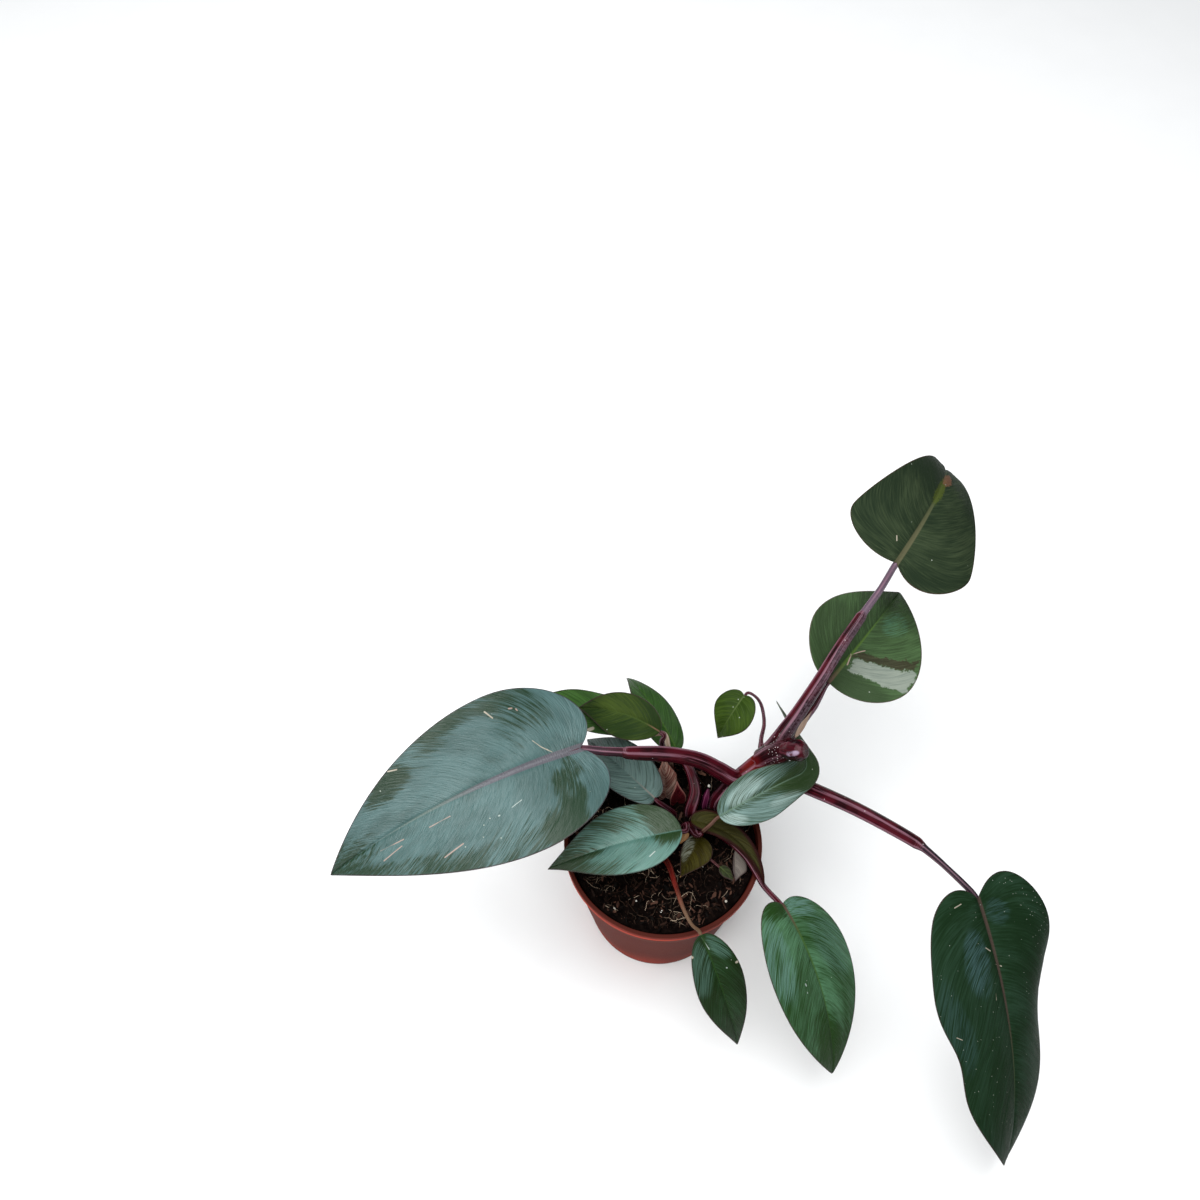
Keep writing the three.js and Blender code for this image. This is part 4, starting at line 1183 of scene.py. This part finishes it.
def soil_height(x, y):
    """The soil's surface: a gentle ripple, a mound behind the main shoot, a heaped edge, and crumbs."""
    edge = pot_inner_radius(SOIL_LEVEL)
    inner = max(0, 1 - math.hypot(x, y) / edge)
    ripple = math.sin(x * 0.31 + 1) * math.cos(y * 0.27) + 0.6 * math.sin(x * 0.11 - y * 0.53 + 2)
    away = math.hypot(x - MOUND_CENTRE[0], y - MOUND_CENTRE[1]) / MOUND_SPREAD
    smooth = SOIL_BUMP * ripple * min(1, inner * 5) + MOUND_HEIGHT * math.exp(-away ** 2)
    heaped = SOIL_EDGE_RISE * float(ease(math.hypot(x, y), edge - SOIL_EDGE_WIDTH, edge - 1))
    height = SOIL_LEVEL + smooth + heaped
    for scale, layer, fade, size in SOIL_NOISES:
        height += size * noise.fractal(Vector((x * scale, y * scale, layer)), fade, 2.1, 3)
    return height


def add_soil():
    """The soil, from the middle of its surface out to the pot's wall, down and to the middle below."""
    edge = pot_inner_radius(SOIL_LEVEL) - 0.1
    bottom = POT_FLOOR + 0.35
    points = [(0, 0, soil_height(0, 0))]
    for i in range(1, SOIL_RINGS + 1):
        points += [(x, y, soil_height(x, y)) for x, y in circle(edge * i / SOIL_RINGS, SOIL_SPOKES)]
    for z in (SOIL_LEVEL - SOIL_SIDE_DEPTH, bottom):
        points += [(x, y, z) for x, y in circle(pot_inner_radius(z) - 0.2, SOIL_SPOKES)]
    points.append((0, 0, bottom))
    faces = [[face[0], *face[:0:-1]] for face in round_faces(SOIL_RINGS + 2, SOIL_SPOKES)]
    new_piece("soil_surface", points, faces, soil_material(), "soil")


def standing_stalks():
    """Where stalks and sheaths leave the soil, as (x, y, radius)."""
    collars = [stalk["points"][1] for stalks in SHOOTS.values() for stalk in stalks]
    feet = [(x, y, radius) for x, y, z, radius in collars if z == STALK_COLLAR]
    return feet + [(*BLADES[name]["at"][:2], SHEATH_RADIUS) for name in ("sheath_pink_brown", "sheath_red")]


def soil_places(random, count, clearance, edge):
    """Places on the soil, clear of the stalks and of the pot's wall."""
    feet = standing_stalks()
    reach = pot_inner_radius(SOIL_LEVEL) - edge
    places = []
    while len(places) < count:
        radius, angle = reach * math.sqrt(random.random()), random.uniform(0, 2 * math.pi)
        x, y = radius * math.cos(angle), radius * math.sin(angle)
        if all(math.hypot(x - fx, y - fy) > fr + clearance for fx, fy, fr in feet):
            places.append((x, y))
    return places


def add_bits(name, parts, material, smooth=True):
    """One piece from many small meshes, each with its tint."""
    points, faces, tint = joined(parts)
    piece = new_piece(name, points, faces, material, smooth=smooth)
    store(piece, "tint", tint[:, 0])


def chip_points(random, length, width, height):
    """Rings of corners of an irregular splinter, narrowed at both ends."""
    points = []
    for share, fill in CHIP_RINGS:
        for x, y in circle(1, CHIP_SIDES):
            swell = fill * random.uniform(0.4, 1.2)
            points.append((length * (share + random.uniform(-0.12, 0.12)),
                           width / 2 * swell * x, height / 2 * swell * y))
    return np.array(points)


def add_chips():
    random = Random(CHIP_SEED)
    faces = flipped(tube_faces(len(CHIP_RINGS), CHIP_SIDES))
    parts = []
    for x, y in soil_places(random, CHIP_COUNT, CHIP_CLEARANCE, CHIP_EDGE):
        length = CHIP_LENGTH + CHIP_LENGTH_SPREAD * random.random() ** 4
        width, height = length * random.uniform(*CHIP_WIDTHS), length * random.uniform(*CHIP_HEIGHTS)
        points = chip_points(random, length, width, height)
        heading = Matrix.Rotation(random.uniform(0, 2 * math.pi), 3, "Z")
        turn = heading @ Matrix.Rotation(random.gauss(0, CHIP_TILT), 3, "Y")
        points = points @ np.array(turn).T + (x, y, soil_height(x, y) + 0.12 * length)
        parts.append((points, faces, random.random() ** 3.5))
    material = tinted_material("bark_chips", "#050302", "#4a3228", 0.5, 0.3)
    add_bits("soil_bark_chips", parts, material, smooth=False)


def thread_mesh(points, radius):
    """A thin closed tube through the points, tapered at both ends."""
    points = np.asarray(points, float)
    ahead = unit(np.gradient(points, axis=0))
    side = unit(np.cross(ahead, (0.1, 0.2, 1.0)))
    share = np.linspace(0, 1, len(points))
    size = radius * np.minimum(1, 0.35 + 5 * np.minimum(share, 1 - share))
    skin = rings_round(points, side, np.cross(side, ahead), size[:, None], FIBRE_SIDES)
    return skin, tube_faces(len(points), FIBRE_SIDES)


def add_fibres():
    random = Random(FIBRE_SEED)
    reach = pot_inner_radius(SOIL_LEVEL) - FIBRE_EDGE
    parts = []
    for x, y in soil_places(random, FIBRE_COUNT, FIBRE_CLEARANCE, FIBRE_EDGE):
        heading = random.uniform(0, 2 * math.pi)
        curl = random.gauss(0, FIBRE_CURL)
        points = []
        for k in range(random.randint(*FIBRE_POINTS)):
            lift = 0.4 + 1.1 * abs(math.sin(k * 0.5 + curl * 9)) * random.uniform(0.7, 1.1)
            points.append((x, y, soil_height(x, y) + lift))
            heading += curl + random.gauss(0, FIBRE_WANDER)
            x, y = x + FIBRE_STEP * math.cos(heading), y + FIBRE_STEP * math.sin(heading)
            if math.hypot(x, y) > reach:
                break
        if len(points) >= FIBRE_POINTS[0]:
            parts.append((*thread_mesh(points, random.uniform(*FIBRE_RADII)), random.random() ** 2.5))
    add_bits("soil_root_fibres", parts, tinted_material("root_fibres", "#33241b", "#c4ae96", 0.6, 0.1))


def grain_points(random, radius):
    """Points of a rounded, uneven grain, from its lowest to its highest."""
    points = [(0, 0, -radius)]
    for i in range(1, PERLITE_RINGS):
        polar = math.pi * i / PERLITE_RINGS
        for x, y in circle(1, PERLITE_SIDES):
            size = radius * random.uniform(0.8, 1.15)
            points.append((size * math.sin(polar) * x, size * math.sin(polar) * y, -size * math.cos(polar)))
    return np.array([*points, (0, 0, radius)])


def add_perlite():
    random = Random(PERLITE_SEED)
    faces = round_faces(PERLITE_RINGS - 1, PERLITE_SIDES)
    parts = []
    for x, y in soil_places(random, PERLITE_COUNT, PERLITE_CLEARANCE, PERLITE_EDGE):
        radius = random.uniform(*PERLITE_RADII)
        points = grain_points(random, radius) + (x, y, soil_height(x, y) + radius * 0.6)
        parts.append((points, faces, random.random()))
    add_bits("soil_perlite", parts, tinted_material("perlite", "#a9a49a", "#e4e1d8", 0.7, 0.2))


# The plant. Spots, painted highlights, patches and dust are (share, row, half width, half height) in leaf
# coordinates, each with a strength or a colour; spots raise or lower a leaf's paler tone and its painted
# reflection. Lines, and the stalks' painted highlights, go from one point to another, with a radius and a
# colour; leaf lines in the pale blue-grey colour are painted highlights, the others flecks and nicks. A
# rib's foot is its colour at the base and the stretch where that ends. A stalk's foot and tip are the same,
# in millimetres from its lower end.
# Leaf line colours: cream and pink for flecks and nicks, and pale blue-grey for painted highlights.
CREAM, PINK, PAINTED_GLINT = "#aaa090", "#a08a80", "#a0aba5"

LEAF_LOOKS = {
    "leaf_great_left": dict(
        slot="grey_green_leaf", deep="#16301c", sheen="#3c5654", sheen2="#4a6665", cover=1.1, streak=2,
        hair=0.3, grain=(1.7, 22), rib="#55655e", rib_foot=("#5a545c", 0.3, 0.6), rib_width=2.9,
        rib_reach=0.9, vein=0, margin="#3d2630", gloss=0.4,
        spots=[
            ((0.68, 0.27, 0.35, 0.08), -0.52), ((0.6, 0.37, 0.5, 0.06), -0.4),
            ((0.95, 0.6, 0.3, 0.14), -0.6), ((0.8, 0.73, 0.24, 0.08), -0.8), ((-1, 0.45, 0.45, 0.2), -0.65),
            ((-1, 0.75, 0.35, 0.2), -0.7), ((-0.25, 0.18, 0.28, 0.055), -0.7),
            ((-0.53, 0.26, 0.34, 0.062), -0.9), ((-0.85, 0.32, 0.3, 0.07), -0.75),
            ((0, 1, 1.5, 0.16), -0.85), ((1, 0.42, 0.22, 0.16), -0.6),
        ],
        lines=[
            ((-104.2, 51.4, 176.9), (-99.7, 48.5, 174.7), 0.52, CREAM),
            ((-90.4, 54.5, 174.8), (-88.6, 54.9, 174.6), 0.5, PINK),
            ((-86.3, 54.8, 173.7), (-85.5, 54, 173.3), 0.5, PINK),
            ((-76.8, 38.4, 165.1), (-71.8, 35.5, 162.7), 0.4, CREAM),
            ((-71.8, 35.5, 162.7), (-65.3, 33.4, 160.3), 0.35, CREAM),
            ((-158.8, 18.9, 167.1), (-153.8, 19.8, 167.6), 0.45, CREAM),
            ((-134.6, -9.9, 154.2), (-122.9, -4.7, 157.4), 0.4, PINK),
            ((-163.2, -19.4, 143), (-149.6, -14.9, 149), 0.4, PINK),
            ((-161, -25, 142.3), (-150.5, -18.5, 147.9), 0.4, PINK),
            ((-124.9, -27.6, 153.8), (-114.7, -20.9, 157), 0.45, PINK),
            ((-87.6, -1.5, 161.8), (-82.3, 2.8, 162.1), 0.3, PAINTED_GLINT),
            ((-95, -6.2, 161.1), (-94.6, -6, 161.1), 0.5, PAINTED_GLINT),
        ],
    ),
    "leaf_front_left": dict(
        slot="grey_green_leaf", deep="#1e3417", sheen="#486d64", sheen2="#54796f", cover=0.92, streak=1.8,
        hair=0.3, grain=(1.15, 15), rib="#3f6358", rib_width=0.35, vein=0.03, margin="#2c2a22", gloss=0.4,
        spots=[
            ((0.4, 0.14, 1.1, 0.24), -1.2), ((0, 1, 1.6, 0.3), -0.95), ((0.9, 0.5, 0.6, 0.4), -0.45),
            ((-0.9, 0.75, 0.4, 0.3), -0.4),
        ],
        lines=[((-9.3, -19.6, 130.9), (-6.3, -16.8, 131.2), 0.35, PAINTED_GLINT)],
    ),
    "leaf_behind_left_grey": dict(
        slot="grey_green_leaf", deep="#213329", sheen="#526866", sheen2="#5c746f", cover=0.6, streak=1.5,
        rib="#7a7068", rib_width=0.6, rib_reach=0.3, vein=0.03, gloss=0.2,
    ),
    "leaf_behind_left_dark": dict(
        slot="dark_green_leaf", deep="#1c2c10", sheen="#374619", cover=0.45, streak=1, hair=0.1,
        rib="#36471e", rib_foot=("#6b5040", 0.05, 0.2), rib_width=0.5, vein=0.05, gloss=0.05,
        spots=[((0.5, 0.6, 0.7, 0.3), 0.2)],
    ),
    "leaf_behind_left_bright": dict(
        slot="bright_green_leaf", deep="#264118", sheen="#3a5d26", cover=0.5, rib="#4d6b30", rib_width=0.6,
        gloss=0.1, lines=[((-46, 61, 132.4), (-42, 62, 133), 1.2, CREAM)],
    ),
    "leaf_arching_bright": dict(
        slot="bright_green_leaf", deep="#223c16", sheen="#365724", cover=0.5, rib="#3f5c22", rib_width=0.6,
        speck=0.06, gloss=0.1,
    ),
    "leaf_small_heart": dict(
        slot="dark_green_leaf", deep="#26380f", sheen="#374b18", cover=0.4, rib="#4d5c34", rib_width=0.6,
        speck=0.14, gloss=0.05, patches=[((0, 1, 0.6, 0.05), "#a59a88")],
    ),
    "leaf_top_right": dict(
        slot="olive_leaf", deep="#202b1e", sheen="#3b4631", cover=0.4, patchy=0.7, streak=0.9, hair=0.15,
        rib="#454f34", rib_foot=("#57553f", 0.1, 0.5), rib_width=1.7, rib_reach=1, vein=0.25,
        vein_color="#37432a", margin="#52342c", speck=0.03, gloss=0.004,
        # This spot darkens the tip: painted shade where the blade leans away.
        spots=[((-0.5, 0.85, 0.9, 0.3), -0.4)],
        patches=[((0, 0.61, 0.14, 0.12), "#444e20"), ((0.12, 0.7, 0.2, 0.06), "#664736")],
        lines=[((143.3, 153.8, 204.8), (143.1, 150.9, 203.8), 0.39, CREAM)],
    ),
    "leaf_right_variegated": dict(
        slot="dark_green_leaf", deep="#314229", sheen="#465f3c", cover=0.5, patchy=0.6, streak=1, hair=0.2,
        rib="#4a632c", rib_foot=("#5d4a40", 0.02, 0.2), rib_width=1.4, vein=0.12, vein_color="#4d6a38",
        margin="#5a4a44", gloss=0.05, bright="#48705c", gleam=[((0.46, 0.73, 0.4, 0.11), 0.45)],
        spots=[((-0.5, 0.4, 0.6, 0.3), -0.25), ((0.5, 0.1, 1.2, 0.2), -1)],
        bands=[
            ((0.1, 0.97, 0.285, 0.405, 0.07), "#7f877c", "#69736a", 1),
            ((0.04, 0.95, 0.41, 0.46, 0.07), "#2f2a20", "#3f3a2c", 0.85),
        ],
        lines=[
            ((112.5, 88, 163.5), (115.9, 95.5, 163.1), 0.5, PINK),
            ((115.9, 95.5, 163.1), (124.5, 97.8, 163), 0.4, PINK),
        ],
    ),
    "leaf_far_right_hanging": dict(
        slot="dark_green_leaf", deep="#172a18", sheen="#233a26", sheen2="#263c2c", cover=0.4, streak=1.2,
        hair=0.15, rib="#47553b", rib_foot=("#4a3d37", 0.3, 0.6), rib_width=1.3, rib_reach=1, vein=0.22,
        vein_color="#2c3f2e", speck=0.08, speck_scale=0.5, gloss=0.004, bright="#486467",
        gleam=[
            ((0.33, 0.3, 0.25, 0.13), 0.5), ((0.85, 0.42, 0.2, 0.15), 0.2),
            ((-0.25, 0.16, 0.25, 0.08), 0.25),
        ],
        dust=[((-0.8, 0.22, 0.3, 0.16), 0.7), ((0.5, 0.6, 0.6, 0.2), 0.12)],
        lines=[
            ((151, -63.7, 167.2), (155.2, -61.2, 165.9), 0.29, CREAM),
            ((169, -80.4, 150.8), (172.1, -81.2, 147.9), 0.33, CREAM),
            ((175.8, -86.8, 142.2), (179.1, -87.2, 140), 0.33, CREAM),
            ((174.1, -100.6, 137.2), (174.5, -103.8, 135.1), 0.33, CREAM),
            ((153.2, -124.1, 133.7), (149.9, -123.4, 135.6), 0.23, CREAM),
        ],
    ),
    "leaf_bent_round_crown": dict(
        slot="grey_green_leaf", deep="#213516", sheen="#526a64", sheen2="#6c8681", cover=0.72, streak=2.3,
        grain=(1, 12), rib="#566e5c", rib_width=0.45, vein=0.03, margin="#4a4a38", margin_width=0.4,
        gloss=0.2, bright="#a5bab4",
        gleam=[((0.5, 0.1, 0.5, 0.14), 0.7), ((-0.4, 0.28, 0.5, 0.16), 0.5), ((0.75, 0.42, 0.3, 0.1), 0.4)],
        spots=[((0.1, 0.72, 1.5, 0.26), -0.8), ((0.6, 0.6, 0.5, 0.14), -0.4), ((0, 0.4, 0.3, 0.3), -0.25)],
    ),
    "leaf_front_right": dict(
        slot="bright_green_leaf", deep="#203a17", sheen="#44684a", sheen2="#4d7455", cover=0.6, streak=1.15,
        hair=0.4, grain=(0.9, 11), rib="#3f5c2c", rib_foot=("#5a453c", 0.04, 0.2), rib_width=1, vein=0.05,
        gloss=0.04, bright="#5c7d74",
        gleam=[
            ((0.75, 0.35, 0.4, 0.22), 0.6), ((-0.5, 0.12, 0.6, 0.14), 0.8), ((-0.6, 0.4, 0.5, 0.2), 0.35),
        ],
        spots=[((0, 0.95, 1.5, 0.3), -0.45), ((0.5, 0.08, 0.6, 0.12), -0.5)],
        lines=[
            ((79.2, -84.1, 95.8), (79.9, -85, 95.4), 0.5, PAINTED_GLINT),
            ((80.1, -88.1, 93.5), (80.3, -88.6, 93.4), 0.4, PAINTED_GLINT),
        ],
    ),
    "leaf_front_small": dict(
        slot="dark_green_leaf", deep="#142509", sheen="#28442a", cover=0.42, streak=1.1, hair=0.35,
        grain=(1, 11), rib="#233d18", rib_width=0.6, vein=0.05, gloss=0.08, bright="#4f6d62",
        gleam=[((0.55, 0.3, 0.6, 0.25), 0.6), ((-0.5, 0.2, 0.5, 0.16), 0.6)],
        lines=[
            ((19.7, -62, 113.4), (23.9, -67.6, 109.5), 0.35, PAINTED_GLINT),
            ((13.4, -72.3, 111), (14, -72.6, 110.8), 0.8, CREAM),
            ((40.3, -72.8, 102.3), (39.8, -73.2, 102.5), 0.8, CREAM),
            ((33.9, -75.9, 101.7), (34.2, -76, 101.6), 0.45, PAINTED_GLINT),
        ],
    ),
    "leaf_olive_small": dict(
        slot="olive_leaf", deep="#262106", sheen="#3b3710", cover=0.45, hair=0.1, rib="#33300f",
        rib_width=0.4, vein=0, rough=0.25, gloss=0.04, relief=0.8, bright="#83877a",
        gleam=[((0.5, 0.5, 0.6, 0.3), 0.6), ((0.9, 0.3, 0.3, 0.2), 0.8)],
        patches=[((0, 1, 0.9, 0.05), "#8d6a3c")],
    ),
    "leaf_seedling": dict(
        slot="olive_leaf", deep="#161d08", sheen="#2c3514", rib="#46522c", rib_width=0.3, vein=0, gloss=0.1,
    ),
    "leaf_pale_small": dict(
        slot="pale_leaf", deep="#3f3833", sheen="#5d554e", cover=0.5, streak=1.4, rib="#665d55",
        rib_width=0.3, vein=0, rough=0.5,
    ),
    "sheath_front_right": dict(
        slot="olive_leaf", deep="#211f08", sheen="#353314", cover=0.45, rib="#302e12", rib_width=0.5,
        vein=0, margin="#24060a", margin_width=1.6, margin_share=0.9, gloss=0.05,
    ),
    "sheath_cream": dict(
        slot="cream_sheath", deep="#6e5a4c", sheen="#8d7a6c", rib="#8f7869", rib_width=0.3, vein=0,
        margin="#857062", rough=0.45,
    ),
    "sheath_pink_brown": dict(
        slot="pink_brown_sheath", deep="#6d3f36", sheen="#b89a8c", cover=0.55, streak=2, rib="#a97767",
        rib_width=0.5, vein=0, margin="#8a5a4c", rough=0.36,
    ),
    "sheath_red": dict(
        slot="red_sheath", deep="#36090f", sheen="#6a1f26", rib="#7a383a", rib_width=0.5, vein=0,
        margin="#9a6a60", rough=0.32,
    ),
    "sheath_tan": dict(
        slot="tan_stalk", deep="#7d5632", sheen="#a07c54", rib="#a07c54", rib_width=0.3, vein=0,
        margin="#7d5632", rough=0.5,
    ),
}

STALK_LOOKS = {
    "main_shoot": dict(slot="burgundy_stalk", ridge=0.6, speck=0.05, droplets=((71, 40, 149), 17)),
    "front_shoot": dict(slot="burgundy_stalk", base="#451018"),
    "stalk_bent_leaf": dict(slot="tan_stalk", base="#4d332a", dark="#35211a", light="#6a5244"),
    "stalk_front_left": dict(slot="burgundy_stalk"),
    "stalk_behind_left_grey": dict(slot="burgundy_stalk"),
    "stalk_behind_left_dark": dict(slot="burgundy_stalk", base="#3a1214"),
    "stalk_behind_left_bright": dict(
        slot="pink_brown_sheath", base="#b09884", dark="#5a3c2c", light="#d0c4b0", foot=("#4a2018", 25, 34),
        rough=0.4,
    ),
    "stalk_arching_bright": dict(slot="burgundy_stalk", base="#4d0e1a", dark="#24050b"),
    "stalk_front_small": dict(
        slot="red_sheath", base="#5e1612", dark="#380b08", light="#8a4838", ridge=0.6,
        tip=("#5e4836", 44, 66),
    ),
    "stalk_seedling": dict(slot="red_sheath", base="#4d2824", dark="#361a16"),
    "shoot_bud_purple": dict(
        slot="burgundy_stalk", base="#4a1430", dark="#1c0510", light="#8a4a68", ridge=0.6,
    ),
}

# The bud's light colour is a painted highlight on its upper side. Its two lines are painted highlights: a
# lilac streak, and a pink one at the curled tip, which is partly the tip's own pink.
BUD_LOOK = dict(
    base="#3d0a14", dark="#180307", light="#6a3a46", rough=0.2, ridge=0.3, gloss=0.15,
    glints=[
        ((71.6, 31.4, 157.8), (76.5, 30.1, 162.6), 1.7, "#9c8aa0"),
        ((80.4, 33.2, 164.9), (80.4, 29.7, 163.6), 1.4, "#a86474"),
    ],
)


def add_plant():
    for seed, (name, look) in enumerate(LEAF_LOOKS.items()):
        add_blade(name, seed, look)
    for seed, (name, look) in enumerate(STALK_LOOKS.items()):
        add_shoot(name, seed, look)
    add_bud()


# Studio

def add_camera():
    pitch, roll = math.radians(CAMERA_PITCH), math.radians(CAMERA_ROLL)
    ahead = Vector((0, math.cos(pitch), -math.sin(pitch)))
    level = Vector((1, 0, 0))
    upright = level.cross(ahead)
    right = level * math.cos(roll) + upright * math.sin(roll)
    up = upright * math.cos(roll) - level * math.sin(roll)
    camera = add_object("camera", bpy.data.cameras.new("camera"))
    camera.data.sensor_width = SENSOR_WIDTH
    camera.data.lens = SENSOR_WIDTH * FOCAL_PIXELS / FRAME_PIXELS
    camera.data.clip_start = 0.01
    turn = Matrix((right, up, -ahead)).transposed().to_4x4()
    camera.matrix_world = Matrix.Translation(Vector(CAMERA_PLACE) * MM) @ turn
    bpy.context.scene.camera = camera


def add_light(name, place, size, power, color):
    light = bpy.data.lights.new(name, "AREA")
    light.shape = "RECTANGLE"
    light.size, light.size_y = size
    light.energy = power
    light.color = color
    lamp = add_object(name, light)
    lamp.location = place
    lamp.rotation_mode = "QUATERNION"
    lamp.rotation_quaternion = (Vector(LIGHT_TARGET) - Vector(place)).to_track_quat("-Z", "Y")


def add_floor():
    corners = [(x * FLOOR_HALF, y * FLOOR_HALF, 0) for x, y in ((-1, -1), (1, -1), (1, 1), (-1, 1))]
    mesh = new_mesh("floor", corners, [[0, 1, 2, 3]])
    shader = Shader("floor")
    shader.color = shader.mix(shader.noise(shader.place, 0.02), "#f4f4f4", "#f8f8f8")
    mesh.materials.append(shader.finish(0.9, 0.1))
    floor = add_object("floor", mesh)


def add_studio():
    add_floor()
    world = bpy.data.worlds.new("studio")
    world.use_nodes = True
    background = world.node_tree.nodes["Background"].inputs
    background["Color"].default_value = WORLD_COLOR
    background["Strength"].default_value = WORLD_LIGHT
    bpy.context.scene.world = world
    bpy.context.scene.view_settings.view_transform = "Standard"
    add_light("overhead_panel", (-0.2, 0.15, 1.7), (1.7, 1.7), 42, (0.97, 0.99, 1.0))
    add_light("front_panel", (-1.0, -1.1, 1.5), (1.4, 1.0), 22, (1.0, 0.99, 0.98))


add_camera()
add_studio()
add_pot()
add_soil()
add_chips()
add_fibres()
add_perlite()
add_plant()
